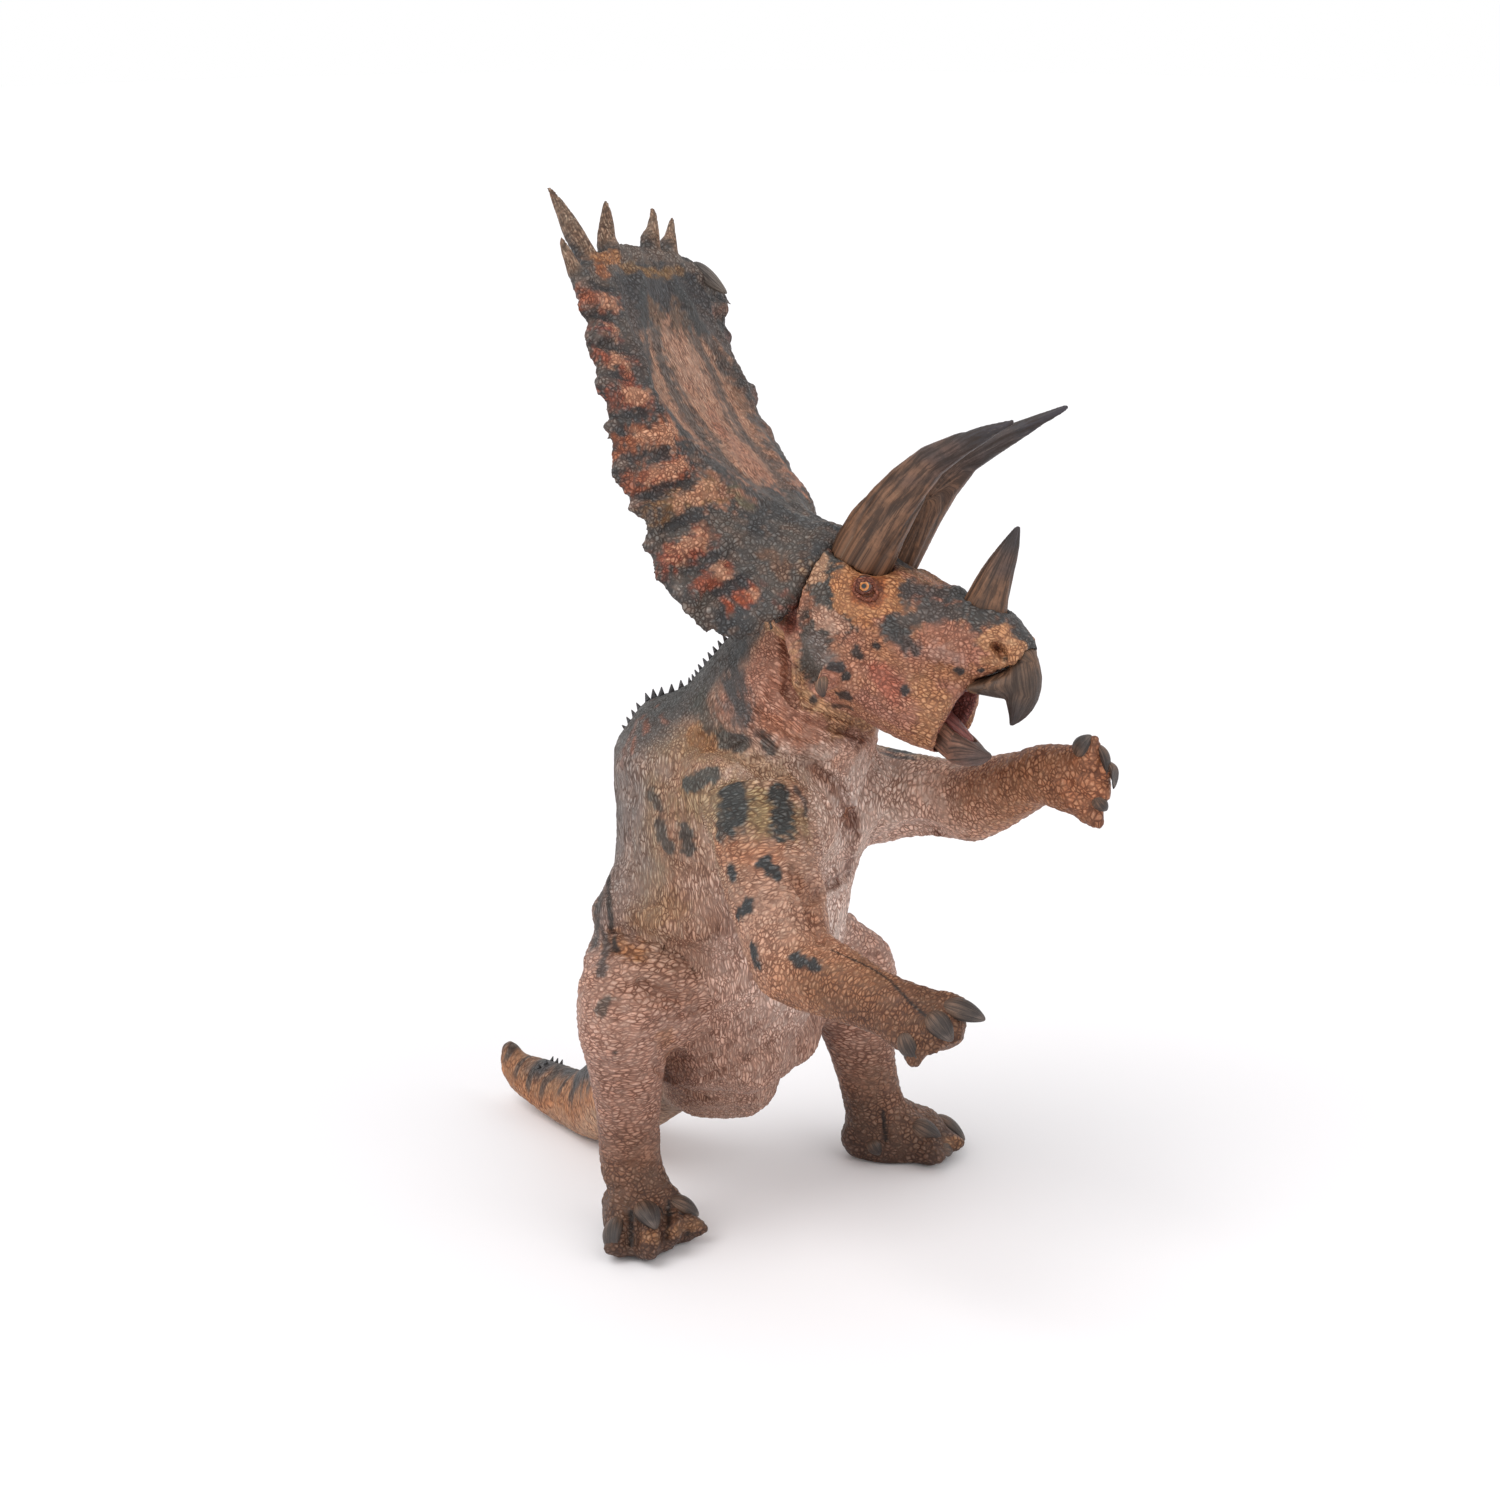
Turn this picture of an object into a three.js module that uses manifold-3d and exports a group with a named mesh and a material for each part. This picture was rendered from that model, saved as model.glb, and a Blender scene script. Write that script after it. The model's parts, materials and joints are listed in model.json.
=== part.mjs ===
// A toy horned dinosaur that rears up on its hind legs, moulded in soft plastic as separate pieces.
// The torso carries plug-in arms, legs, tail and head. The head carries a frill, three horns,
// a beak and a lower jaw that turns on stubs at its back. Lengths are millimetres, angles are degrees.
// +X is the way the animal faces, +Y is its left and +Z is up.

import * as THREE from "three";
import { mergeVertices } from "three/addons/utils/BufferGeometryUtils.js";
import Module from "manifold-3d";

const wasm = await Module();
wasm.setup();

// Torso and neck
const torsoHeight = 92;
const chestWidth = 50;
const chestDepth = 50;
const bellyClearance = 16;
const neckRise = 17;
const neckReach = 15.5;
const neckWidth = 25;
const neckDepth = 25;

// Head, measured with its snout level
const skullLength = 52;
const skullWidth = 30;
const skullHeight = 35;
const headShift = 2;
const headYaw = 3;
const headPitch = 10;
const headRoll = -13;
const eyeRadius = 2.3;

// Frill
const frillLength = 70;
const frillWidth = 58;
const frillThickness = 3.6;
const frillPanelDepth = 1.5;
const frillRidgeRise = 0.9;
const frillBarRise = 0.7;
const frillScallop = 1.6;
const frillScallopCount = 11;
const frillSpikeLength = 18;
const frillSpikeThick = 4.6;

// Horns, beak, jaw and mouth
const browHornHeight = 35;
const browHornReach = 23.5;
const browHornThick = 12.4;
const browHornGap = 1.1;
const browHornSplay = 4;
const noseHornHeight = 16.5;
const noseHornThick = 9.2;
const cheekHornLength = 6;
const cheekHornThick = 5;
const beakLength = 15;
const beakWidth = 10;
const jawLength = 21;
const jawTravel = 14;
const jawPivotRadius = 1.5;
const jawPivotWidth = 15;
const tongueWidth = 5.4;
const tongueThick = 2.6;
const mouthLength = 12;
const mouthWidth = 8.4;
const mouthHeight = 7;
const liningThick = 1.4;

// Arms
const upperArmLength = 33.5;
const forearmLength = 24;
const palmLength = 10;
const upperArmThick = 19;
const forearmThick = 12;
const palmThick = 13.5;
const fingerLength = 6.5;
const fingerThick = 5.6;

// Legs
const thighLength = 22;
const thighThick = 27;
const shinThick = 13.6;
const footLength = 17;
const footWidth = 16.5;
const footHeight = 13;
const toeLength = 6.5;
const toeThick = 7;

// Tail
const tailReach = 57;
const tailSweep = 12;
const tailThick = 24;

// Joints between the moulded pieces
const seamGap = 0.3;
const pegWidth = 6;
const pegLength = 6;
const runningGap = 0.15;

// Mesh fineness, as counts
const bodySides = 22;
const bodyRings = 18;
const limbSides = 14;
const limbRings = 16;
const hornSides = 10;
const hornRings = 8;
const smallSides = 8;
const smallRings = 4;
const pegSides = 6;
const pinSides = 16;
const jawSweepSteps = 3;
const capShares = [0.5, 0.87];

const rad = THREE.MathUtils.degToRad;
const v3 = (x, y, z) => new THREE.Vector3(x, y, z);
const leftward = v3(0, 1, 0);
const upward = v3(0, 0, 1);

// The unit vector at a compass bearing from +X towards +Y, and an angle above the horizon.
const heading = (bearing, climb) =>
  v3(Math.cos(rad(bearing)), Math.sin(rad(bearing)), 0)
    .multiplyScalar(Math.cos(rad(climb)))
    .addScaledVector(upward, Math.sin(rad(climb)));

const stepFrom = (start, direction, length) => start.clone().addScaledVector(direction, length);

// A Catmull-Rom row of values through rows of numbers, at a share of the way along them.
function alongRows(rows, share) {
  const place = share * (rows.length - 1);
  const i = Math.min(Math.floor(place), rows.length - 2);
  const t = place - i;
  const at = (k) => rows[Math.min(Math.max(k, 0), rows.length - 1)];
  const [a, b, c, d] = [at(i - 1), at(i), at(i + 1), at(i + 2)];
  const t2 = t * t;
  const t3 = t2 * t;
  return b.map((_, k) => {
    const slopeB = (c[k] - a[k]) / 2;
    const slopeC = (d[k] - b[k]) / 2;
    const fromEnds = (2 * t3 - 3 * t2 + 1) * b[k] + (3 * t2 - 2 * t3) * c[k];
    return fromEnds + (t3 - 2 * t2 + t) * slopeB + (t3 - t2) * slopeC;
  });
}

// A closed mesh from rings of points that share one count, with a pole at each end.
function meshOfRings(rings, firstPole, lastPole) {
  const sides = rings[0].length;
  const points = [firstPole, ...rings.flat(), lastPole];
  const index = [];
  const at = (ring, k) => 1 + ring * sides + (k % sides);
  const last = points.length - 1;
  for (let k = 0; k < sides; k++) {
    index.push(0, at(0, k + 1), at(0, k));
    index.push(last, at(rings.length - 1, k), at(rings.length - 1, k + 1));
    for (let r = 0; r < rings.length - 1; r++) {
      index.push(at(r, k), at(r, k + 1), at(r + 1, k + 1));
      index.push(at(r, k), at(r + 1, k + 1), at(r + 1, k));
    }
  }
  const geometry = new THREE.BufferGeometry().setFromPoints(points);
  geometry.setIndex(index);
  return geometry;
}

function solidOf(geometry) {
  const bare = geometry.toNonIndexed();
  bare.deleteAttribute("normal");
  bare.deleteAttribute("uv");
  const merged = mergeVertices(bare);
  const mesh = new wasm.Mesh({
    numProp: 3,
    vertProperties: merged.attributes.position.array,
    triVerts: new Uint32Array(merged.index.array),
  });
  return new wasm.Manifold(mesh);
}

function geometryOf(solid) {
  const mesh = solid.getMesh();
  const points = new Float32Array(mesh.numVert * 3);
  for (let i = 0; i < mesh.numVert; i++) {
    points.set(mesh.vertProperties.subarray(i * mesh.numProp, i * mesh.numProp + 3), i * 3);
  }
  const geometry = new THREE.BufferGeometry();
  geometry.setAttribute("position", new THREE.BufferAttribute(points, 3));
  geometry.setIndex(new THREE.BufferAttribute(mesh.triVerts, 1));
  geometry.computeVertexNormals();
  return geometry;
}

const joined = (...solids) => solids.reduce((all, one) => all.add(one));
const less = (solid, ...cuts) => cuts.reduce((left, cut) => left.subtract(cut), solid);

// A skin swept through stations {at, half, over, under}: the centre, the half-width across, and
// the depths above and below it. `grow` swells it all round; an end is domed unless named flat.
function sweep(stations, shape) {
  const { across, sides = limbSides, rings = limbRings, flatStart, flatEnd, grow = 0 } = shape;
  const rows = stations.map(({ at, half, over = half, under = over }) => [at.x, at.y, at.z, half, over, under]);
  const nudge = 0.5 / rings;
  const frames = Array.from({ length: rings + 1 }, (_, r) => {
    const share = r / rings;
    const [x, y, z, half, over, under] = alongRows(rows, share);
    const ahead = alongRows(rows, Math.min(share + nudge, 1));
    const behind = alongRows(rows, Math.max(share - nudge, 0));
    const along = v3(ahead[0] - behind[0], ahead[1] - behind[1], ahead[2] - behind[2]).normalize();
    const side = across.clone().addScaledVector(along, -across.dot(along)).normalize();
    const deep = along.clone().cross(side);
    return { at: v3(x, y, z), along, side, deep, half: half + grow, over: over + grow, under: under + grow };
  });
  const ring = (f, shift, scale) =>
    Array.from({ length: sides }, (_, k) => {
      const angle = (2 * Math.PI * k) / sides;
      const depth = Math.sin(angle) > 0 ? f.over : f.under;
      return stepFrom(f.at, f.along, shift)
        .addScaledVector(f.side, Math.cos(angle) * f.half * scale)
        .addScaledVector(f.deep, Math.sin(angle) * depth * scale);
    });
  const first = frames[0];
  const last = frames[rings];
  const dome = (f) => Math.min(f.half, f.over, f.under);
  const startReach = flatStart ? grow : dome(first);
  const endReach = flatEnd ? grow : dome(last);
  const domed = (share) => Math.sqrt(1 - share * share);
  const body = frames.map((f) => ring(f, 0, 1));
  if (flatStart) body[0] = ring(first, -grow, 1);
  else for (const share of capShares) body.unshift(ring(first, -share * startReach, domed(share)));
  if (flatEnd) body[body.length - 1] = ring(last, grow, 1);
  else for (const share of capShares) body.push(ring(last, share * endReach, domed(share)));
  const firstPole = stepFrom(first.at, first.along, -startReach);
  const lastPole = stepFrom(last.at, last.along, endReach);
  return solidOf(meshOfRings(body, firstPole, lastPole));
}

// A round or many-sided bar from one point along a direction.
function rod(start, along, length, radius, sides) {
  const turn = new THREE.Quaternion().setFromUnitVectors(v3(0, 1, 0), along.clone().normalize());
  const bar = new THREE.CylinderGeometry(radius, radius, length, sides).translate(0, length / 2, 0);
  return solidOf(bar.applyMatrix4(new THREE.Matrix4().compose(start, turn, v3(1, 1, 1))));
}

// A ball squashed to three half-sizes along the axes.
function lump(centre, long, wide, high) {
  const ball = new THREE.SphereGeometry(1, smallSides + 2, smallSides);
  return solidOf(ball.scale(long, wide, high).translate(centre.x, centre.y, centre.z));
}

// A keyed peg that runs from inside its own piece into the piece that it plugs into.
function peg(seat, inward, grow) {
  const start = stepFrom(seat, inward, -pegLength);
  return rod(start, inward, 2 * pegLength + grow, pegWidth / 2 + grow, pegSides);
}

// The part of a solid that lies above the floor.
const spaceReach = 4 * torsoHeight;
const spaceBelow = new THREE.BoxGeometry(spaceReach, spaceReach, spaceReach).translate(0, 0, -spaceReach / 2);
const aboveFloor = (solid) => less(solid, solidOf(spaceBelow));

// Torso: shares of its height and depth for the middle line, then of width to each side,
// and of depth to the back and to the front.
const torsoShares = [
  [0.115, -0.27, 0.27, 0.23, 0.27],
  [0.15, -0.27, 0.33, 0.27, 0.33],
  [0.2, -0.26, 0.38, 0.3, 0.37],
  [0.29, -0.235, 0.43, 0.34, 0.4],
  [0.4, -0.2, 0.46, 0.41, 0.43],
  [0.52, -0.2, 0.5, 0.44, 0.46],
  [0.64, -0.174, 0.5, 0.46, 0.47],
  [0.75, -0.126, 0.5, 0.53, 0.5],
  [0.85, -0.108, 0.46, 0.54, 0.5],
  [0.93, -0.06, 0.37, 0.31, 0.42],
  [0.98, 0.02, 0.27, 0.25, 0.32],
];

const torsoPoint = (upShare, aheadShare, leftShare = 0) =>
  v3(aheadShare * chestDepth, leftShare * chestWidth, bellyClearance + upShare * torsoHeight);

function torsoSkin() {
  const stations = torsoShares.map(([up, ahead, half, back, front]) => ({
    at: torsoPoint(up, ahead),
    half: half * chestWidth,
    over: back * chestDepth,
    under: front * chestDepth,
  }));
  return sweep(stations, { across: leftward, sides: bodySides, rings: bodyRings });
}

// The head's own frame: its origin sits between the eyes, ahead of and above the torso.
const torsoTop = torsoPoint(1, 0.09);
const headOrigin = v3(torsoTop.x + neckReach, headShift, torsoTop.z + neckRise);
const headTurn = new THREE.Euler(rad(headRoll), rad(headPitch), rad(headYaw), "ZYX");
const headPlace = new THREE.Matrix4().makeRotationFromEuler(headTurn).setPosition(headOrigin);
const skullBackShare = 0.3;
const frillRootShare = 0.13;
const skullPoint = (along, left, up) =>
  v3((along - skullBackShare) * skullLength, left * skullWidth, up * skullHeight);

// Neck: shares of neck width to each side, and of depth to the back and to the front.
const neckShares = [
  [0.8, 0.86, 0.86],
  [0.76, 0.8, 0.82],
  [0.68, 0.7, 0.72],
  [0.56, 0.58, 0.6],
  [0.42, 0.42, 0.44],
];
const neckFootShares = [0.82, -0.06];
const neckTipShares = [0.13, 0, -0.04];

function neckSkin(grow) {
  const foot = torsoPoint(...neckFootShares);
  const tip = skullPoint(...neckTipShares).applyMatrix4(headPlace);
  const stations = neckShares.map(([wide, back, front], k) => ({
    at: foot.clone().lerp(tip, k / (neckShares.length - 1)),
    half: wide * neckWidth,
    over: back * neckDepth,
    under: front * neckDepth,
  }));
  return sweep(stations, { across: leftward, sides: bodySides, rings: hornRings, grow });
}

// Arms: where each plugs in, the run of its bones, and a fan of hoofed fingers.
const armPlans = {
  right: {
    shoulder: torsoPoint(0.845, 0.13, -0.33),
    upper: heading(-37, -50),
    fore: heading(-5, -7),
    palm: heading(-2, -12),
    palmAcross: heading(-80, -50),
    fingers: [
      { bearing: 6, climb: 4, spreadShare: -0.34 },
      { bearing: -14, climb: -8, spreadShare: -0.06 },
      { bearing: -20, climb: -26, spreadShare: 0.18 },
      { bearing: -26, climb: -50, spreadShare: 0.3 },
    ],
  },
  left: {
    shoulder: torsoPoint(0.735, -0.04, 0.28),
    upper: heading(14, 3),
    fore: heading(-16, 29),
    palm: heading(-9, 4),
    palmAcross: heading(0, 90),
    fingers: [
      { bearing: -20, climb: 50, spreadShare: 0.3 },
      { bearing: -6, climb: 26, spreadShare: 0.12 },
      { bearing: -6, climb: 0, spreadShare: -0.08 },
      { bearing: -14, climb: -30, spreadShare: -0.28 },
    ],
  },
};

// Limb stations: the share along the bone, then shares of its thickness across and through.
const upperArmShares = [
  [0, 1],
  [0.35, 1.04],
  [0.7, 0.96],
  [1, 0.84],
];
const forearmShares = [
  [0, 1.32],
  [0.35, 1.24],
  [0.75, 1.02],
];
const palmShares = [
  [0, 0.88, 0.82],
  [0.6, 1.02, 0.76],
  [1, 0.96, 0.7],
];

const boneStations = (rows, from, to, thick) =>
  rows.map(([share, wide, deep = wide]) => ({
    at: from.clone().lerp(to, share),
    half: (wide * thick) / 2,
    over: (deep * thick) / 2,
  }));

function armJoints(plan) {
  const elbow = stepFrom(plan.shoulder, plan.upper, upperArmLength);
  const wrist = stepFrom(elbow, plan.fore, forearmLength);
  return { elbow, wrist, knuckles: stepFrom(wrist, plan.palm, palmLength) };
}

function armSkin(plan, grow) {
  const { elbow, wrist, knuckles } = armJoints(plan);
  const upper = boneStations(upperArmShares, plan.shoulder, elbow, upperArmThick);
  const lower = [
    ...boneStations(forearmShares, elbow, wrist, forearmThick),
    ...boneStations(palmShares, wrist, knuckles, palmThick),
  ];
  const across = plan.palmAcross;
  return joined(
    sweep(upper, { across, rings: limbRings / 2, flatStart: true, grow }),
    sweep(lower, { across, grow }),
  );
}

// A short digit that narrows to a blunt hoof.
const digitShares = [
  [0, 1],
  [0.6, 0.94],
  [1, 0.5],
];

function digit(root, out, across, length, thick) {
  const stations = digitShares.map(([share, wide]) => ({
    at: stepFrom(root, out, share * length),
    half: (wide * thick) / 2,
  }));
  return sweep(stations, { across, sides: smallSides, rings: smallRings });
}

const fingerRootShare = 0.8;
const armPeg = (plan, grow) => peg(plan.shoulder, plan.upper.clone().negate(), grow);
const armPocket = (plan) => joined(armSkin(plan, seamGap), armPeg(plan, seamGap));

function arm(plan) {
  const { wrist, knuckles } = armJoints(plan);
  const fingers = plan.fingers.map(({ bearing, climb, spreadShare }) => {
    const root = wrist.clone().lerp(knuckles, fingerRootShare);
    root.addScaledVector(plan.palmAcross, spreadShare * palmThick);
    return digit(root, heading(bearing, climb), plan.palmAcross, fingerLength, fingerThick);
  });
  return joined(armSkin(plan, 0), armPeg(plan, 0), ...fingers);
}

// Legs: where each plugs in, the run of its bones, the way that the foot points, and the ankle's
// height as a share of the foot's. The shin is as long as the way from the knee down to the foot.
const legPlans = {
  right: {
    hip: torsoPoint(0.43, -0.26, -0.19),
    thigh: heading(-93, -19),
    shin: heading(118, -80),
    foot: heading(-27, 0),
    ankleShare: 1.07,
  },
  left: {
    hip: torsoPoint(0.37, -0.22, 0.2),
    thigh: heading(58, -24),
    shin: heading(46, -78),
    foot: heading(44, 0),
    ankleShare: 0.53,
  },
};
const thighShares = [
  [0, 1],
  [0.5, 0.96],
  [1, 0.8],
];
const shinShares = [
  [0, 1.5],
  [0.3, 1.16],
  [0.65, 0.94],
  [1, 0.92],
];

function legJoints(plan) {
  const knee = stepFrom(plan.hip, plan.thigh, thighLength);
  const drop = knee.z - plan.ankleShare * footHeight;
  return { knee, ankle: stepFrom(knee, plan.shin, -drop / plan.shin.z) };
}

function legSkin(plan, grow) {
  const { knee, ankle } = legJoints(plan);
  const across = upward.clone().cross(plan.foot);
  const thigh = boneStations(thighShares, plan.hip, knee, thighThick);
  const shin = boneStations(shinShares, knee, ankle, shinThick);
  return joined(
    sweep(thigh, { across, rings: limbRings / 2, flatStart: true, grow }),
    sweep(shin, { across, rings: limbRings / 2, grow }),
  );
}

// Foot pad stations: shares of its length along, then of its width and height.
const footPadShares = [
  [-0.2, 0.28, 0.4],
  [0, 0.4, 0.62],
  [0.3, 0.47, 0.6],
  [0.5, 0.44, 0.44],
];
const footRiseShare = 0.34;
const toeRootShares = [0.32, 0.3];
const toeRiseShare = 0.46;
const toeTurns = [-62, -22, 18, 56];

function foot(plan) {
  const { ankle } = legJoints(plan);
  const heel = v3(ankle.x, ankle.y, footRiseShare * footHeight);
  const across = upward.clone().cross(plan.foot);
  const stations = footPadShares.map(([along, wide, high]) => ({
    at: stepFrom(heel, plan.foot, along * footLength),
    half: wide * footWidth,
    over: high * footHeight,
  }));
  const pad = sweep(stations, { across, rings: 2 * smallRings });
  const toes = toeTurns.map((turn) => {
    const out = plan.foot.clone().applyAxisAngle(upward, rad(turn));
    const root = stepFrom(heel, plan.foot, toeRootShares[0] * footLength);
    root.addScaledVector(out, toeRootShares[1] * footWidth);
    root.z = toeRiseShare * toeThick;
    return digit(root, out, upward, toeLength, toeThick);
  });
  return joined(pad, ...toes);
}

const legPeg = (plan, grow) => peg(plan.hip, plan.thigh.clone().negate(), grow);
const legPocket = (plan) => joined(legSkin(plan, seamGap), legPeg(plan, seamGap));
const leg = (plan) => aboveFloor(joined(legSkin(plan, 0), foot(plan), legPeg(plan, 0)));

// Tail: shares of its reach back, of its sideways sweep, of its height at the rump, and of its
// thickness. It leaves the rump, lies along the floor and curls up at the tip.
const tailRoot = torsoPoint(0.16, -0.42);
const tailShares = [
  [0, 0, 1, 0.46],
  [0.2, 0.1, 0.62, 0.42],
  [0.4, 0.4, 0.3, 0.33],
  [0.58, 0.7, 0.2, 0.27],
  [0.76, 0.9, 0.2, 0.23],
  [0.91, 1, 0.24, 0.17],
  [0.95, 1, 0.37, 0.09],
];
const tailInward = heading(12, 40);

function tailSkin(grow) {
  const stations = tailShares.map(([back, side, rise, thick]) => ({
    at: v3(tailRoot.x - back * tailReach, side * tailSweep, rise * tailRoot.z),
    half: thick * tailThick,
  }));
  return sweep(stations, { across: leftward, flatStart: true, grow });
}

const tailPeg = (grow) => peg(tailRoot, tailInward, grow);
const tail = aboveFloor(joined(tailSkin(0), tailPeg(0)));

// Flesh that swells out of both flanks: shares of the torso's height, of its depth and of its width
// for the middle of each swelling, then its half-sizes as shares of the chest's width.
const fleshPlans = [
  { upShare: 0.84, aheadShare: 0, leftShare: 0.36, longShare: 0.2, wideShare: 0.12, highShare: 0.2 },
  { upShare: 0.79, aheadShare: 0.24, leftShare: 0.16, longShare: 0.16, wideShare: 0.17, highShare: 0.18 },
  { upShare: 0.85, aheadShare: -0.28, leftShare: 0.3, longShare: 0.24, wideShare: 0.15, highShare: 0.14 },
  { upShare: 0.55, aheadShare: -0.2, leftShare: 0.4, longShare: 0.3, wideShare: 0.125, highShare: 0.13 },
  { upShare: 0.22, aheadShare: -0.06, leftShare: 0.15, longShare: 0.22, wideShare: 0.18, highShare: 0.18 },
];

function flesh({ upShare, aheadShare, leftShare, longShare, wideShare, highShare }, sideSign) {
  const centre = torsoPoint(upShare, aheadShare, sideSign * leftShare);
  return lump(centre, longShare * chestWidth, wideShare * chestWidth, highShare * chestWidth);
}

const torso = less(
  joined(torsoSkin(), neckSkin(0), ...fleshPlans.flatMap((plan) => [flesh(plan, -1), flesh(plan, 1)])),
  armPocket(armPlans.right),
  armPocket(armPlans.left),
  legPocket(legPlans.right),
  legPocket(legPlans.left),
  tailSkin(seamGap),
  tailPeg(seamGap),
);

// Skull: shares of its length along, of height for its axis, of width to each side, and of
// height above and below the axis.
const skullShares = [
  [0.1, 0.086, 0.47, 0.354, 0.34],
  [0.26, 0.071, 0.507, 0.33, 0.42],
  [0.396, 0.063, 0.473, 0.303, 0.46],
  [0.53, 0.063, 0.4, 0.27, 0.42],
  [0.646, 0.086, 0.32, 0.246, 0.27],
  [0.76, 0.114, 0.267, 0.246, 0.23],
  [0.84, 0.129, 0.22, 0.19, 0.15],
  [0.895, 0.13, 0.15, 0.12, 0.09],
];
const jowlShares = [
  [0.223, -0.143, 0.467, 0.23, 0.243],
  [0.396, -0.214, 0.433, 0.257, 0.271],
  [0.57, -0.286, 0.347, 0.24, 0.25],
  [0.735, -0.343, 0.267, 0.229, 0.194],
];

const skullStations = (rows) =>
  rows.map(([along, up, half, top, bottom]) => ({
    at: skullPoint(along, 0, up),
    half: half * skullWidth,
    over: top * skullHeight,
    under: bottom * skullHeight,
  }));
const skullSkin = sweep(skullStations(skullShares), {
  across: leftward,
  sides: bodySides,
  rings: bodyRings / 2,
  flatStart: true,
});
const jowlSkin = sweep(skullStations(jowlShares), { across: leftward, rings: smallRings, flatEnd: true });

// Lower jaw: shares of its length ahead of and above the pivot, of half its width, and of its
// depth above and below the line.
const jawPivot = skullPoint(0.492, 0, -0.257);
const jawShares = [
  [-0.07, 0, 0.124, 0.13, 0.13],
  [0.19, -0.095, 0.152, 0.12, 0.15],
  [0.476, -0.214, 0.18, 0.13, 0.17],
  [0.714, -0.295, 0.19, 0.115, 0.2],
  [0.88, -0.333, 0.133, 0.086, 0.124],
  [0.976, -0.314, 0.057, 0.038, 0.048],
];
const tongueShares = [
  [0.28, 0.02, 0.8],
  [0.48, -0.07, 1],
  [0.66, -0.17, 0.9],
  [0.76, -0.225, 0.5],
];

const jawPoint = (along, up) => jawPivot.clone().add(v3(along * jawLength, 0, up * jawLength));

function jawSkin(grow) {
  const stations = jawShares.map(([along, up, half, top, bottom]) => ({
    at: jawPoint(along, up),
    half: half * jawLength,
    over: top * jawLength,
    under: bottom * jawLength,
  }));
  return sweep(stations, { across: leftward, rings: 2 * smallRings, grow });
}

function tongueSkin(grow) {
  const stations = tongueShares.map(([along, up, wide]) => ({
    at: jawPoint(along, up),
    half: (wide * tongueWidth) / 2,
    over: tongueThick / 2,
  }));
  return sweep(stations, { across: leftward, sides: smallSides, rings: 2 * smallRings, grow });
}

// The round stubs at the back of the jaw, which turn in sockets inside the cheeks.
function jawStubs(grow) {
  const start = stepFrom(jawPivot, leftward, -jawPivotWidth / 2 - grow);
  return rod(start, leftward, jawPivotWidth + 2 * grow, jawPivotRadius + grow, pinSides);
}

// The space that the jaw and the tongue pass through as the mouth closes.
function jawSweepSpace() {
  const moving = joined(jawSkin(seamGap), tongueSkin(seamGap));
  const turned = Array.from({ length: jawSweepSteps + 1 }, (_, k) => {
    const turn = new THREE.Matrix4()
      .makeTranslation(jawPivot)
      .multiply(new THREE.Matrix4().makeRotationY(rad((-jawTravel * k) / jawSweepSteps)))
      .multiply(new THREE.Matrix4().makeTranslation(jawPivot.clone().negate()));
    return moving.transform(turn.toArray());
  });
  return joined(...turned);
}

// Upper beak: a shell under the snout and a hook that comes down at its front. Shares of beak
// length ahead and up, of beak width, and of beak length above and below the line.
const beakRoot = skullPoint(0.78, 0, -0.12);
const beakShellShares = [
  [0, 0, 0.5, 0.1, 0.07],
  [0.25, 0.1, 0.5, 0.17, 0.14],
  [0.5, 0.24, 0.42, 0.22, 0.24],
];
const beakHookShares = [
  [0.5, 0.58, 0.3, 0.12, 0.12],
  [0.55, 0.34, 0.4, 0.21, 0.24],
  [0.6, 0.07, 0.36, 0.19, 0.22],
  [0.6, -0.13, 0.22, 0.11, 0.14],
  [0.56, -0.27, 0.08, 0.035, 0.04],
];

function beakSkin(grow) {
  const stationsOf = (rows) =>
    rows.map(([along, up, wide, over, under]) => ({
      at: beakRoot.clone().add(v3(along * beakLength, 0, up * beakLength)),
      half: wide * beakWidth,
      over: over * beakLength,
      under: under * beakLength,
    }));
  const shell = sweep(stationsOf(beakShellShares), { across: leftward, rings: smallRings, grow });
  const hook = sweep(stationsOf(beakHookShares), { across: leftward, rings: 2 * smallRings, grow });
  return joined(shell, hook);
}

// Mouth lining: a band that lines the roof of the mouth and turns down behind the tongue. Shares
// of mouth length back from the beak's root, of mouth height up, and of mouth width.
const mouthMiddle = skullPoint(0.72, 0, -0.235);
const beakRootReach = beakShellShares[0][4] * beakLength;
const liningFront = v3(beakRoot.x - beakRootReach - seamGap - liningThick / 2, 0, mouthMiddle.z);
const liningShares = [
  [0, 0.46, 0.42],
  [-0.2, 0.5, 0.5],
  [-0.42, 0.42, 0.5],
  [-0.58, 0.1, 0.44],
];

function liningSkin(grow) {
  const stations = liningShares.map(([along, up, wide]) => ({
    at: liningFront.clone().add(v3(along * mouthLength, 0, up * mouthHeight)),
    half: wide * mouthWidth,
    over: liningThick / 2,
  }));
  return sweep(stations, { across: leftward, rings: 2 * smallRings, grow });
}

const mouthHollow = lump(mouthMiddle, mouthLength / 2, mouthWidth / 2, mouthHeight / 2);

// Horns: shares of their reach and height, then of their thickness.
const browHornShares = [
  [0, 0, 1],
  [0.05, 0.17, 1],
  [0.17, 0.385, 0.8],
  [0.36, 0.63, 0.55],
  [0.68, 0.83, 0.32],
  [1, 0.99, 0.1],
];
const noseHornShares = [
  [0, 0, 1],
  [0.02, 0.38, 0.74],
  [0.08, 0.75, 0.44],
  [0.11, 1, 0.14],
];
const hornFlatShare = 0.8;
// The left brow horn bends up a little more towards its tip.
const leftHornBendShares = [0.06, 0.1];

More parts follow.
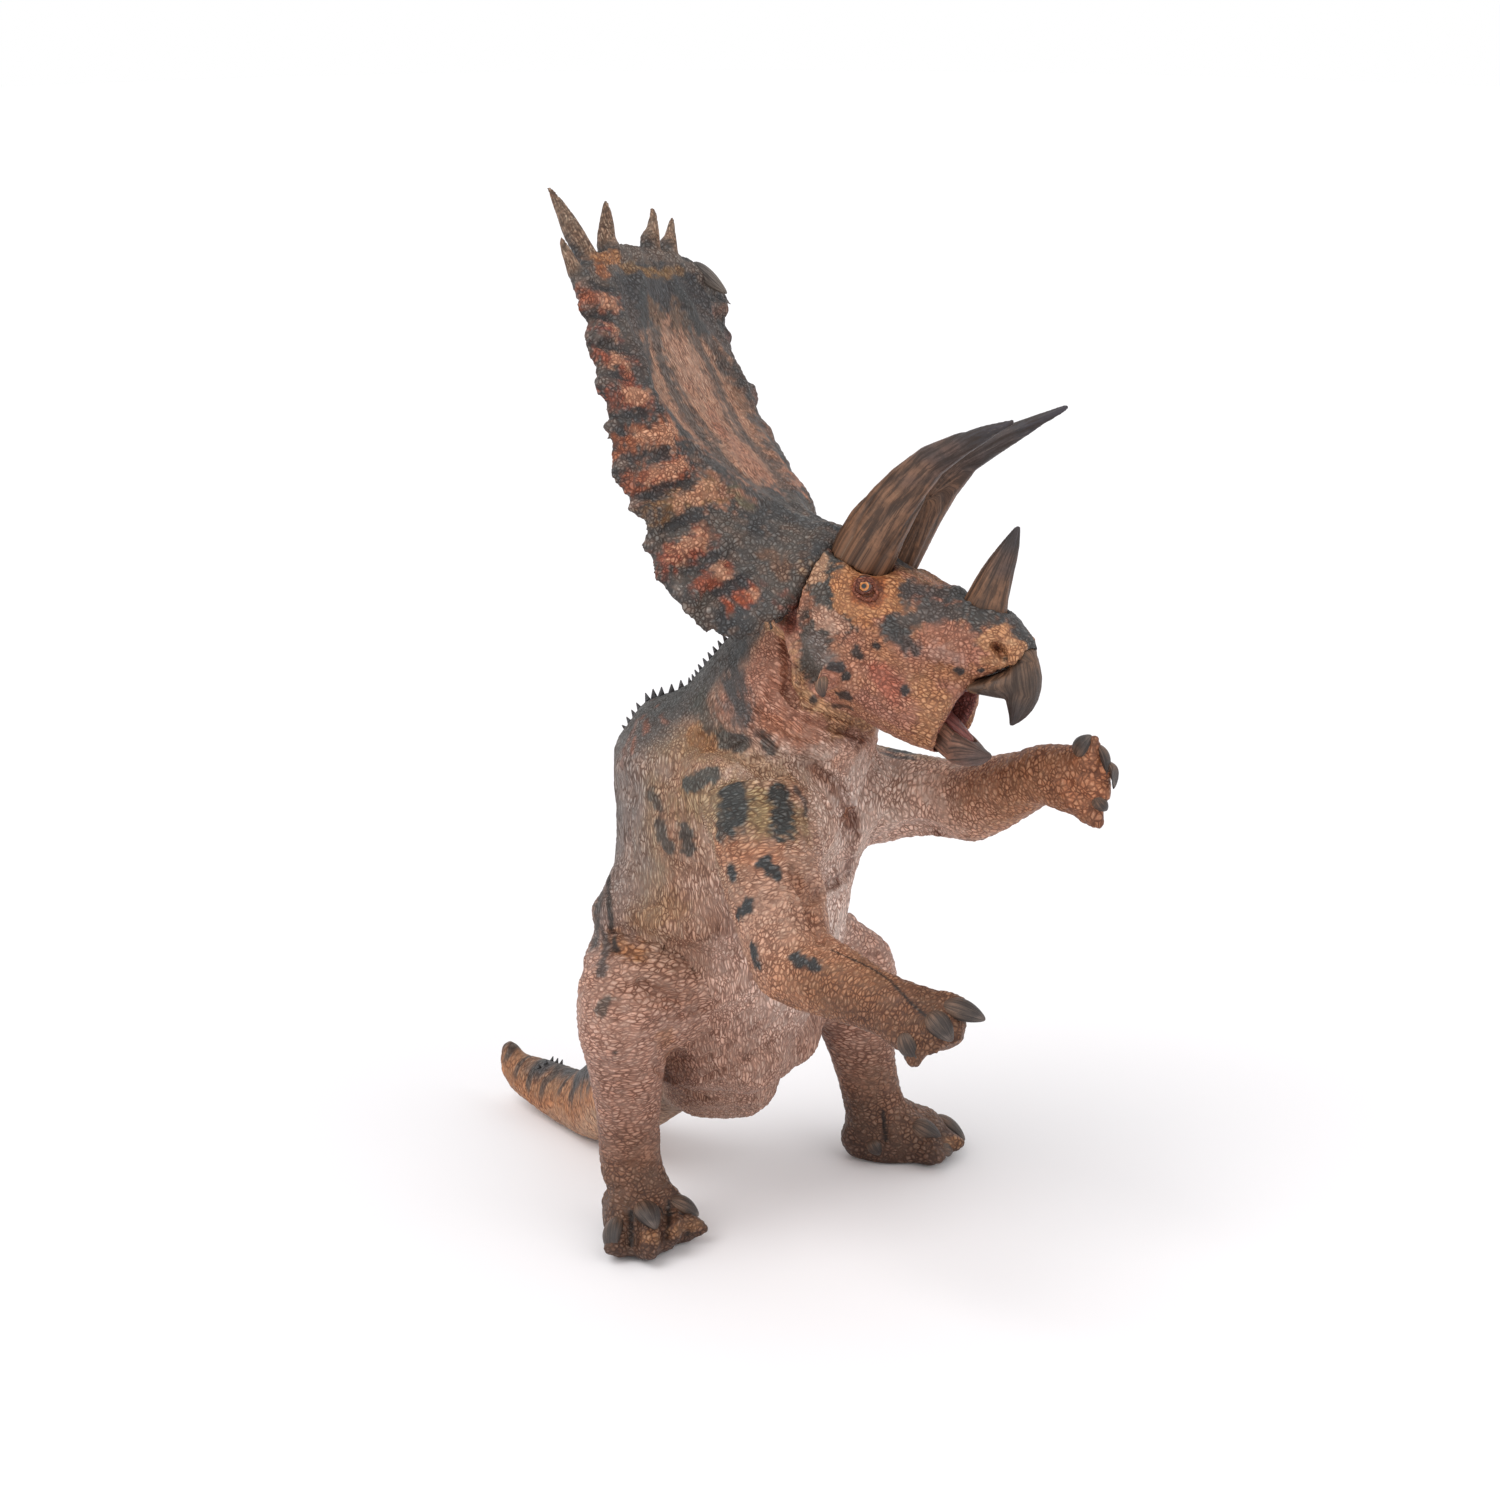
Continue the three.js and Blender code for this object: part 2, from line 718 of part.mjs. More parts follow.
// The brow horns stand side by side, against the seam between the skull and the frill.
function browHorn(sideSign, grow) {
  const aside = (hornFlatShare * browHornThick + browHornGap) / 2;
  const root = skullPoint(frillRootShare, 0, 0.31).add(v3(browHornThick / 2, sideSign * aside, 0));
  const [further, higher] = sideSign > 0 ? leftHornBendShares : [0, 0];
  const stations = browHornShares.map(([reach, rise, thick]) => ({
    at: root.clone().add(
      v3(
        (reach + further * reach * reach) * browHornReach,
        sideSign * reach * browHornSplay,
        (rise + higher * reach * reach) * browHornHeight,
      ),
    ),
    half: (hornFlatShare * thick * browHornThick) / 2,
    over: (thick * browHornThick) / 2,
  }));
  return sweep(stations, { across: leftward, sides: hornSides, rings: hornRings, flatStart: true, grow });
}

function noseHorn(grow) {
  const root = skullPoint(0.72, 0, 0.28);
  const stations = noseHornShares.map(([reach, rise, thick]) => ({
    at: root.clone().add(v3(reach * noseHornHeight, 0, rise * noseHornHeight)),
    half: (hornFlatShare * thick * noseHornThick) / 2,
    over: (thick * noseHornThick) / 2,
  }));
  return sweep(stations, { across: leftward, sides: hornSides, rings: hornRings, flatStart: true, grow });
}

function cheekHorn(sideSign) {
  const root = skullPoint(0.32, sideSign * 0.4, -0.24);
  return digit(root, heading(sideSign * 70, -20), upward, cheekHornLength, cheekHornThick);
}

const eyeball = (sideSign) => {
  const centre = skullPoint(0.356, sideSign * 0.42, 0.25);
  return lump(centre, eyeRadius, eyeRadius, eyeRadius);
};

// Frill: shares of its length back and up for the middle line and for the side edge, and of
// half its width.
const frillShares = [
  [0, 0, 0.053, -0.282, 0.58],
  [0.139, 0.008, 0.166, -0.289, 0.75],
  [0.224, 0.035, 0.234, -0.242, 0.86],
  [0.31, 0.08, 0.369, -0.132, 0.94],
  [0.437, 0.169, 0.489, 0.038, 1],
  [0.546, 0.266, 0.574, 0.152, 1],
  [0.653, 0.374, 0.66, 0.312, 0.95],
  [0.75, 0.474, 0.74, 0.438, 0.9],
  [0.836, 0.566, 0.805, 0.516, 0.8],
];
const frillRoot = skullPoint(frillRootShare, 0, 0.41);
const frillStrips = 12;
const frillRows = 22;
const edgeFall = 2.6;
const edgeThinShare = 0.35;
const panelEdgeShares = [0.4, 0.9];
const panelHalfShare = 0.6;
const ridgeSideShare = 0.67;
const ridgeFadeShare = 0.17;
const panelFadeShare = 0.14;
const scallopSharpness = 6;

const eased = (x) => {
  const t = Math.min(Math.max(x, 0), 1);
  return t * t * (3 - 2 * t);
};

function frillPoint(share, side, behind) {
  const [back, up, edgeBack, edgeUp, wide] = alongRows(frillShares, share);
  const further = alongRows(frillShares, Math.min(share + 1 / frillRows, 1));
  const nearer = alongRows(frillShares, Math.max(share - 1 / frillRows, 0));
  const along = v3(nearer[0] - further[0], 0, further[1] - nearer[1]).normalize();
  const outward = v3(along.z, 0, -along.x);
  const fall = Math.abs(side) ** edgeFall;
  const wave = Math.abs(Math.sin(Math.PI * frillScallopCount * share));
  const spread = (wide * frillWidth) / 2 + frillScallop * wave * Math.abs(side) ** scallopSharpness;
  const panel =
    eased((share - panelEdgeShares[0]) / panelFadeShare) *
    eased((panelEdgeShares[1] - share) / panelFadeShare) *
    eased((panelHalfShare - Math.abs(side)) / panelFadeShare);
  const thick = frillThickness * (1 - edgeThinShare * fall);
  const ridge = eased(1 - Math.abs(Math.abs(side) - ridgeSideShare) / ridgeFadeShare);
  const bar = wave * eased((Math.abs(side) - ridgeSideShare) / ridgeFadeShare);
  const rise = ridge * frillRidgeRise + bar * frillBarRise;
  const sink = behind ? thick : panel * frillPanelDepth - rise;
  const level = (middle, edge) => (middle + (edge - middle) * fall) * frillLength;
  return frillRoot
    .clone()
    .add(v3(-level(back, edgeBack), side * spread, level(up, edgeUp)))
    .addScaledVector(outward, -sink);
}

function frillShield() {
  const rings = Array.from({ length: frillRows + 1 }, (_, r) => {
    const at = (k, behind) => frillPoint(r / frillRows, (2 * k) / frillStrips - 1, behind);
    const steps = Array.from({ length: frillStrips + 1 }, (_, k) => k);
    return [...steps.map((k) => at(k, false)), ...steps.reverse().map((k) => at(k, true))];
  });
  const core = (share) => frillPoint(share, 0, false).lerp(frillPoint(share, 0, true), 0.5);
  return solidOf(meshOfRings(rings, core(0), core(1)));
}

// Spikes round the top edge, from the right corner to the left: the share along the frill, the
// side share, the way that each points, and its length as a share of the longest.
const spikePlans = [
  { alongShare: 0.93, sideShare: -0.92, bearing: -149, climb: 41, longShare: 0.6 },
  { alongShare: 1, sideShare: -0.8, bearing: -169, climb: 39, longShare: 1 },
  { alongShare: 1, sideShare: -0.5, bearing: -173, climb: 60, longShare: 0.68 },
  { alongShare: 1, sideShare: 0.18, bearing: 175, climb: 60, longShare: 0.64 },
  { alongShare: 1, sideShare: 0.46, bearing: 165, climb: 56, longShare: 0.58 },
  { alongShare: 0.96, sideShare: 0.9, bearing: 73, climb: -23, longShare: 0.7 },
];
const spikeSeatShare = 0.05;
const spikeTaperShares = [
  [0, 1],
  [0.5, 0.7],
  [1, 0.16],
];

function frillSpike({ alongShare, sideShare, bearing, climb, longShare }) {
  const face = frillPoint(alongShare - spikeSeatShare, sideShare, false);
  const root = face.lerp(frillPoint(alongShare - spikeSeatShare, sideShare, true), 0.5);
  const out = heading(bearing, climb);
  const stations = spikeTaperShares.map(([share, wide]) => ({
    at: stepFrom(root, out, share * longShare * frillSpikeLength),
    half: (wide * frillSpikeThick) / 2,
  }));
  return sweep(stations, { across: leftward, sides: smallSides, rings: smallRings });
}

// The head's pieces, cut clear of one another and of the neck that plugs into the skull.
const seamBeyond = (x, sign) =>
  solidOf(
    new THREE.BoxGeometry(spaceReach, spaceReach, spaceReach).translate(x + (sign * spaceReach) / 2, 0, 0),
  );
const frillSeam = skullPoint(frillRootShare, 0, 0).x;
const neckInHead = neckSkin(seamGap).transform(headPlace.clone().invert().toArray());
const horns = [browHorn(-1, seamGap), browHorn(1, seamGap), noseHorn(seamGap)];

const frill = less(
  joined(frillShield(), ...spikePlans.map(frillSpike)),
  neckInHead,
  seamBeyond(frillSeam - seamGap, 1),
);

const head = less(
  joined(skullSkin, jowlSkin, cheekHorn(-1), cheekHorn(1), eyeball(-1), eyeball(1)),
  seamBeyond(frillSeam, -1),
  neckInHead,
  jawSweepSpace(),
  mouthHollow,
  beakSkin(seamGap),
  liningSkin(seamGap),
  ...horns,
  jawStubs(runningGap),
);

const lowerJaw = less(joined(jawSkin(0), jawStubs(0)), tongueSkin(seamGap));
const lining = less(liningSkin(0), jawSweepSpace(), beakSkin(seamGap));

// Colours
const skinTone = 0xb08a68;
const slateTone = 0x4a4c4e;
const hornTone = 0x5a4436;
const mouthTone = 0x8c5552;
const softSheen = 0.7;
const hornSheen = 0.55;
const wetSheen = 0.42;

const figure = new THREE.Group();
const headGroup = new THREE.Group();
headGroup.applyMatrix4(headPlace);
figure.add(headGroup);

function piece(parent, name, solid, color, roughness) {
  const mesh = new THREE.Mesh(geometryOf(solid), new THREE.MeshStandardMaterial({ color, roughness, metalness: 0 }));
  mesh.name = name;
  parent.add(mesh);
}

piece(figure, "torso", torso, skinTone, softSheen);
piece(figure, "arm_right", arm(armPlans.right), skinTone, softSheen);
piece(figure, "arm_left", arm(armPlans.left), skinTone, softSheen);
piece(figure, "leg_right", leg(legPlans.right), skinTone, softSheen);
piece(figure, "leg_left", leg(legPlans.left), skinTone, softSheen);
piece(figure, "tail", tail, skinTone, softSheen);
piece(headGroup, "head", head, skinTone, softSheen);
piece(headGroup, "frill", frill, slateTone, softSheen);
piece(headGroup, "brow_horn_right", browHorn(-1, 0), hornTone, hornSheen);
piece(headGroup, "brow_horn_left", browHorn(1, 0), hornTone, hornSheen);
piece(headGroup, "nose_horn", noseHorn(0), hornTone, hornSheen);
piece(headGroup, "upper_beak", beakSkin(0), hornTone, hornSheen);
piece(headGroup, "mouth_lining", lining, mouthTone, wetSheen);
piece(headGroup, "lower_jaw", lowerJaw, hornTone, hornSheen);
piece(headGroup, "tongue", tongueSkin(0), mouthTone, wetSheen);

// The origin is on the floor, under the middle of the whole figure.
const extent = new THREE.Box3().setFromObject(figure, true);
const middle = extent.getCenter(v3(0, 0, 0));
figure.position.set(-middle.x, -middle.y, -extent.min.z);
figure.updateMatrixWorld(true);

export default figure;
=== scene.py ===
# %% [markdown]
# A rearing horned dinosaur, hand painted, in soft moulded plastic
#
# The engineering model of this figure is already packed: fifteen moulded pieces with their exact
# places, and one hinge at the jaw. Those bodies are the armature of this lesson. On top of them we
# grow the skin, carve folds and scales, model horns, claws and eyes, and then paint in layers as a
# toy painter does: a pale base, airbrushed slate on the back, dabs of colour, and a brown wash that
# settles in every crease. Painted shade also darkens the hollows and folds. Everything is in metres.

import json
import math
from contextlib import contextmanager

import bpy
import numpy as np
from mathutils import Matrix, Vector
from mathutils.bvhtree import BVHTree
from mathutils.kdtree import KDTree

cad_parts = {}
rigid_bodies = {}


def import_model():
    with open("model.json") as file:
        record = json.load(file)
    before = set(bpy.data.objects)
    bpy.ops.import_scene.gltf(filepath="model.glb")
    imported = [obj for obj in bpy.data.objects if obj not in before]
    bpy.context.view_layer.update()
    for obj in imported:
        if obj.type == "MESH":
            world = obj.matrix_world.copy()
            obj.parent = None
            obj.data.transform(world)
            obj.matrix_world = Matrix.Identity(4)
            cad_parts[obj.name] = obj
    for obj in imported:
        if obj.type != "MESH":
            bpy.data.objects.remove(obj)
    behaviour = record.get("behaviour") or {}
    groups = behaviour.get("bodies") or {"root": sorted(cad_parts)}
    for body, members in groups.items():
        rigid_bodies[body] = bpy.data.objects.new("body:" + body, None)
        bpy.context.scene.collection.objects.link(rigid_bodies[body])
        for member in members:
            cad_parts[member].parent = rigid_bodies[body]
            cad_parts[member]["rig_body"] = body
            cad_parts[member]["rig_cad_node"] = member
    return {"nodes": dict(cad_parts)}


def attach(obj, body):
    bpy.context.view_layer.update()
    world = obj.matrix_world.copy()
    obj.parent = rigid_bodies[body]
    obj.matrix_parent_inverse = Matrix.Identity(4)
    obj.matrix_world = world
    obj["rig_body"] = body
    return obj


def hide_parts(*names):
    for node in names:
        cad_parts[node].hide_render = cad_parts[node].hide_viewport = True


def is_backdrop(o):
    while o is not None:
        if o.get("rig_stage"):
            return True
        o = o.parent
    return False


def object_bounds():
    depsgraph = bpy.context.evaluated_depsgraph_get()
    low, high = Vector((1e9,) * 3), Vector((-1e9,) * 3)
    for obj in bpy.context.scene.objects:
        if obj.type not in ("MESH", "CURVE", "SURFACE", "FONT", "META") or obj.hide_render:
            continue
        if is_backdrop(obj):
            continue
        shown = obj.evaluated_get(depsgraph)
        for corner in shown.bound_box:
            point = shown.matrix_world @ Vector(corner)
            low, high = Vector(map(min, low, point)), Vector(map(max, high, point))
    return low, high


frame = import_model()
cad_low, cad_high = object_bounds()
mm = 0.001
print("CAD box in mm:", [round(side / mm, 1) for side in cad_high - cad_low])

# %% [markdown]
# The camera comes first, because folds and spots are placed on the skin by looking through it, as a
# sculptor checks a figure against one fixed view. It has a long lens and stands 0.7 m away, a little
# above and to the front right of the figure.

# %% The camera
bearing, climb, distance = math.radians(34), math.radians(19), 0.7
back = Vector((math.sin(bearing) * math.cos(climb), -math.cos(bearing) * math.cos(climb), math.sin(climb)))
aim = Vector((5.467, -12.095, 99)) * mm
bpy.ops.object.camera_add(location=aim + back * distance)
camera = bpy.context.object
camera.name = "camera"
camera.rotation_euler = (-back).to_track_quat("-Z", "Y").to_euler()
camera.data.sensor_width = 36
camera.data.lens = 88.3
camera.data.clip_start, camera.data.clip_end = 0.01, 20
bpy.context.scene.camera = camera
bpy.context.view_layer.update()
picture_size = 1500
picture_focal = picture_size * camera.data.lens / camera.data.sensor_width


def sight(across, down):
    """The start and direction of the line of sight through a place in the picture, in pixels."""
    turn = camera.matrix_world.to_quaternion()
    half = picture_size / 2
    way = Vector(((across - half) / picture_focal, (half - down) / picture_focal, -1))
    return camera.location.copy(), (turn @ way).normalized()


def at_depth(spot, across, down):
    """The place under a pixel of the picture, as deep in the view as another place."""
    start, way = sight(across, down)
    return start + way * (spot - start).dot(way)


print("camera at", [round(x, 3) for x in camera.location])

# %% [markdown]
# Small helpers for working as by hand: choose objects, run a modifier and apply it. The CAD nodes are
# selected after loading, and operators act on all that is selected, so each step first clears it.

# %% Helpers for objects
def pick(*things):
    bpy.ops.object.select_all(action="DESELECT")
    for thing in things:
        thing.select_set(True)
    bpy.context.view_layer.objects.active = things[0]


@contextmanager
def editing(thing):
    """Edit mode on one object, for the mesh operators inside."""
    pick(thing)
    bpy.ops.object.mode_set(mode="EDIT")
    yield
    bpy.ops.object.mode_set(mode="OBJECT")


def apply_with(thing, kind, **settings):
    pick(thing)
    modifier = thing.modifiers.new(kind.title(), kind)
    for key, value in settings.items():
        setattr(modifier, key, value)
    bpy.ops.object.modifier_apply(modifier=modifier.name)


def own_copy(source, name):
    """A new object with its own copy of a mesh."""
    copy = bpy.data.objects.new(name, source.data.copy())
    bpy.context.scene.collection.objects.link(copy)
    return copy


def node_copy(node, name):
    """A copy of a CAD node with its doubled corners merged."""
    copy = own_copy(frame["nodes"][node], name)
    copy.data.materials.clear()
    with editing(copy):
        bpy.ops.mesh.select_all(action="SELECT")
        bpy.ops.mesh.remove_doubles(threshold=0.001 * mm)
        bpy.ops.mesh.normals_make_consistent(inside=False)
    return copy


def join(*things):
    pick(*things)
    bpy.ops.object.join()
    return things[0]


def tree_of(thing):
    """A search tree for rays and nearest places."""
    return BVHTree.FromObject(thing, bpy.context.view_layer.depsgraph)


def triples(items, key):
    flat = np.empty(len(items) * 3, np.float32)
    items.foreach_get(key, flat)
    return flat.reshape(-1, 3).astype(float)


def places_of(thing):
    return triples(thing.data.vertices, "co")


def move_to(thing, places):
    thing.data.vertices.foreach_set("co", places.astype(np.float32).ravel())
    thing.data.update()


layouts = {1: ("FLOAT", "value"), 3: ("FLOAT_VECTOR", "vector"), 4: ("FLOAT_COLOR", "color")}


def store(thing, name, values):
    """Keeps one number, three numbers or a colour per vertex, for the modifiers and the shader."""
    values = np.asarray(values, np.float32)
    kind, field = layouts[1 if values.ndim == 1 else values.shape[1]]
    layer = thing.data.attributes.get(name) or thing.data.attributes.new(name, kind, "POINT")
    layer.data.foreach_set(field, values.ravel())


def store_paint(thing, colours):
    store(thing, "paint", np.hstack([colours, np.ones((len(colours), 1))]))


def recall(thing, name):
    flat = np.empty(len(thing.data.vertices), np.float32)
    thing.data.attributes[name].data.foreach_get("value", flat)
    return flat.astype(float)


# %% [markdown]
# The skin. On the real toy, body, limbs, tail and head are soft mouldings whose skin flows over the
# plug-in joints. The CAD solids are plain bones and barrels with thin gaps between them. Copies of
# them are swollen by the gap, joined, remeshed into even little squares, shrunk back and smoothed, so
# that muscles flow into each other. Later the skin is parted again along the joints.

# %% Grow one skin over the armature
skin_nodes = ["torso", "arm_right", "arm_left", "leg_right", "leg_left", "tail", "head"]
swell = 0.35 * mm
skin = join(*[node_copy(node, f"{node}_copy") for node in skin_nodes])
skin.name = "skin"
apply_with(skin, "DISPLACE", strength=swell, mid_level=0)
apply_with(skin, "REMESH", mode="VOXEL", voxel_size=0.85 * mm)
apply_with(skin, "DISPLACE", strength=-swell, mid_level=0)
apply_with(skin, "SMOOTH", factor=0.5, iterations=9)
print("skin:", len(skin.data.vertices), "vertices,", len(skin.data.polygons), "faces")

# %% [markdown]
# Which moulding does each patch of skin belong to? Every vertex measures how far it is from each CAD
# piece. The nearest one owns it, and the soft shares between neighbours let paint fade across a joint.

# %% Shares of skin
node_trees = {node: tree_of(frame["nodes"][node]) for node in skin_nodes}
start_places = places_of(skin)
reach = np.array([[node_trees[node].find_nearest(p)[3] for p in start_places] for node in skin_nodes])
for label, softness in (("in", 1.3 * mm), ("wide", 4.5 * mm)):
    shares = np.exp(-(reach - reach.min(0)) / softness)
    shares /= shares.sum(0)
    for node, share in zip(skin_nodes, shares):
        store(skin, f"{label}_{node}", share)
print("skin shares:", {node: int((shares.argmax(0) == i).sum()) for i, node in enumerate(skin_nodes)})

# %% [markdown]
# The head is turned and tilted, so it has a frame of its own. Features that the far side has too are
# mirrored through the middle of the head or of the body. Each table below has one stroke to a row:
# first its words and numbers, then the places of its line in the picture, as across,down in pixels.

# %% Middle planes and tables
head_place = Matrix.Translation(Vector((25.467, -2.095, 125)) * mm)
for angle, axis in ((3, "Z"), (10, "Y"), (-13, "X")):
    head_place = head_place @ Matrix.Rotation(math.radians(angle), 4, axis)
head_turn = head_place.to_3x3()
head_across = (head_turn @ Vector((0, 1, 0))).normalized()
body_middle = (Vector((0, -4.1, 0)) * mm, Vector((0, 1, 0)))
head_middle = (head_place.translation.copy(), head_across)


def in_head(ahead, left, up):
    return head_place @ (Vector((ahead, left, up)) * mm)


def mirror_way(way, middle):
    return way - 2 * middle[1] * way.dot(middle[1])


def mirror_place(place, middle):
    point, across = middle
    return place - 2 * across * (place - point).dot(across)


def entry(word):
    """A colour code after a hash, a word, or a number."""
    if word[0] == "#":
        return word[1:]
    return word if word[0].isalpha() else float(word)


def pairs_in(text):
    """The pairs of numbers in a text, such as the places 700,800 and 720,790 of the picture."""
    return [tuple(float(x) for x in word.split(",")) for word in text.split() if "," in word]


def table(text):
    """The rows of a table, each as its words and numbers and then its line of places."""
    rows = []
    for row in text.strip().splitlines():
        rows.append([*(entry(word) for word in row.split() if "," not in word), pairs_in(row)])
    return rows


print("origin of the head's frame in mm:", [round(x / mm, 1) for x in head_place.translation])

# %% [markdown]
# Carving tools. A fold or a muscle is a stroke: a line along the skin with a width and a height, as a
# sculptor would drag a thumb or a loop tool. Strokes are named by places in the fixed view and land on
# the skin where the line of sight meets it, so they lie on the form from every side.

# %% Carving tools
depth_jump = 6 * mm


class Surface:
    """A mesh that strokes are laid on, with a search tree for lines of sight."""

    def __init__(self, thing):
        self.thing = thing
        self.tree = tree_of(thing)
        self.refresh()

    def refresh(self):
        self.places = places_of(self.thing)
        self.normals = triples(self.thing.data.vertex_normals, "vector")

    def settle(self):
        move_to(self.thing, self.places)
        self.refresh()

    def seen(self, picture_line, step=7):
        """The points of a line in the picture, laid on the surface, in runs without a jump in depth."""
        runs, run = [], []
        pairs = list(zip(picture_line, picture_line[1:])) or [(picture_line[0], picture_line[0])]
        for (u0, v0), (u1, v1) in pairs:
            count = max(1, int(math.hypot(u1 - u0, v1 - v0) / step))
            for k in range(count + 1):
                start, way = sight(u0 + (u1 - u0) * k / count, v0 + (v1 - v0) * k / count)
                hit, normal, _, _ = self.tree.ray_cast(start, way)
                if hit is None:
                    continue
                if run and (hit - run[-1][0]).length > depth_jump:
                    runs.append(run)
                    run = []
                run.append((hit, normal))
        return [run for run in [*runs, run] if run]

    def laid(self, across, down):
        """The point under a place in the picture, or the nearest one where the line of sight misses."""
        start, way = sight(across, down)
        hit, normal, _, _ = self.tree.ray_cast(start, way)
        if hit is not None:
            return hit, normal
        spoke = self.places - np.array(start)
        depth = spoke @ np.array(way)
        off = np.linalg.norm(spoke - depth[:, None] * np.array(way), axis=1)
        best = int(np.argmin(off))
        return Vector(self.places[best]), Vector(self.normals[best])

    def mirrored(self, runs, middle):
        return [[self.tree.find_nearest(mirror_place(place, middle))[:2] for place, _ in run] for run in runs]

    def touch(self, runs, radius, facing=0.15):
        """For each vertex near the runs: its number and how far off it is, as a share of the radius."""
        best = np.full(len(self.places), 2.0)
        for run in runs:
            for (a, na), (b, nb) in zip(run, run[1:] or run):
                a, b = np.array(a), np.array(b)
                low, high = np.minimum(a, b) - radius, np.maximum(a, b) + radius
                near = np.nonzero(((self.places > low) & (self.places < high)).all(1))[0]
                if not len(near):
                    continue
                way = b - a
                long = max(float(way @ way), 1e-12)
                along = np.clip((self.places[near] - a) @ way / long, 0, 1)
                off = np.linalg.norm(self.places[near] - a - along[:, None] * way, axis=1) / radius
                turned = self.normals[near] @ np.array((na + nb).normalized())
                off[turned < facing] = 2
                best[near] = np.minimum(best[near], off)
        near = np.nonzero(best < 1)[0]
        return near, best[near]

    def carve(self, runs, radius, height):
        """A soft swelling (height above zero) or hollow (below zero) along the runs, in mm."""
        near, off = self.touch(runs, radius * mm)
        self.places[near] += self.normals[near] * ((1 - off**2) ** 2 * height * mm)[:, None]

    def crease(self, runs, radius, depth):
        """A sharp fold with a raised lip on both sides."""
        near, off = self.touch(runs, 3 * radius * mm)
        profile = -np.exp(-((3 * off) ** 2)) + 0.45 * np.exp(-((3 * off - 1.7) ** 2) / 0.5)
        profile *= (1 - off**2)
        self.places[near] += self.normals[near] * (profile * depth * mm)[:, None]

    def dragged(self, start, end):
        """The spot under a place in the picture, and its way across the view to another place."""
        spot, _ = self.laid(*start)
        origin, way = sight(*start)
        return spot, (sight(*end)[1] - way) * (spot - origin).dot(way)

    def pull(self, spot, shift, radius):
        """Moves the skin round a spot, ever less out to the radius in mm."""
        off = np.linalg.norm(self.places - np.array(spot), axis=1) / (radius * mm)
        near = np.nonzero(off < 1)[0]
        self.places[near] += np.array(shift) * ((1 - off[near] ** 2) ** 2)[:, None]

    def grab(self, start, end, radius):
        self.pull(*self.dragged(start, end), radius)


def wobble(places, size, seed):
    """Smooth random hills of about the given size, from minus one to one."""
    random = np.random.default_rng(seed)
    waves = random.normal(size=(3, 10)) * (2.2 / (size * mm))
    return np.clip(np.sin(places @ waves + random.uniform(0, 6.28, 10)).sum(1) / 3.2, -1, 1)


def eased(values):
    t = np.clip(values, 0, 1)
    return t * t * (3 - 2 * t)


# %% [markdown]
# Big forms first. The near shoulder and the chest muscle swell, a deep fold runs round them, the rib
# barrel hangs over the hip in a soft roll, and folds of loose skin run from knee to belly. Then places
# of the skin are grabbed and pulled a few millimetres to where the outline of the figure runs.

# %% Carve the big forms
clay = Surface(skin)
# sides, radius, height, line in the picture
big_forms = table("""
    both 9 1 700,800 720,790 735,830
    both 8 0.4 655,775 690,765
    both 8 1.4 812,805 822,845
    both 3.8 -2.3 800,765 835,790 853,830 845,872 812,893
    both 3.5 -1.3 793,880 806,912 818,940
    both 4.5 -1.4 612,938 645,950 690,955 720,968
    both 5 -0.8 611,905 614,915
    both 4 -1.5 640,985 665,998 700,1000
    both 4.5 1.4 640,1012 680,1010 715,1000 745,985
    both 6 -0.6 660,1040 672,1062
    both 7 0.4 745,1070 755,1090
    one 5 1.2 765,690 800,722 850,745
    one 3 -1 780,690 815,715 862,735
    one 6 1 640,745 670,748
    one 3.5 -1 700,745 740,752 775,748
    one 4 0.9 605,1010 610,1050
    one 3.4 1 645,1238 655,1236
    one 3.2 1 675,1230 695,1224
    one 2 -1.7 632,1215 631,1245
    one 1.8 -1.7 669,1205 668,1240
    one 2.2 0.9 612,1200 640,1190
    one 1.6 -0.6 600,1168 640,1166 668,1172
    one 2.6 0.8 608,1180 630,1183
    one 2.6 0.8 650,1182 668,1190
    one 2.4 0.8 905,1118 922,1122
    one 1.6 -0.9 882,1110 886,1140
    one 2.6 0.8 945,1146 955,1143
    one 2.6 0.9 1080,762 1092,758
    one 2.4 0.9 1108,772 1112,782
    one 2.8 0.9 1068,795 1072,805
    one 1.2 -0.7 1072,770 1095,776 1104,760
    one 1.2 -0.6 1104,782 1118,772
    one 4 0.8 760,955 800,965
    one 1.6 -0.7 1066,782 1072,790 1086,800 1094,812
    one 1.8 -1 622,1200 632,1216 634,1240
    one 1.6 0.6 905,1075 898,1092 908,1106""")
for sides, radius, height, line in big_forms:
    runs = clay.seen(line)
    clay.carve(runs, radius, height)
    if sides == "both":
        clay.carve(clay.mirrored(runs, body_middle), radius, height * 0.9)
# radius, from, to in the picture
grabs = table("""
    11 613,905 593,905
    10 607,938 588,940
    9 586,975 579,975
    11 571,1012 578,1010
    10 683,680 696,682
    13 716,1122 736,1108
    10 908,843 910,828
    9 932,842 932,832
    9 937,1082 914,1062
    8 868,1140 863,1141
    7 667,1190 681,1192
    8 696,1246 686,1235
    10 583,1080 583,1068
    12 824,1030 800,1033""")
for radius, (start, end) in grabs:
    clay.grab(start, end, radius)
clay.settle()
apply_with(skin, "SMOOTH", factor=0.5, iterations=2)
print("big forms:", len(big_forms), "grabs:", len(grabs))
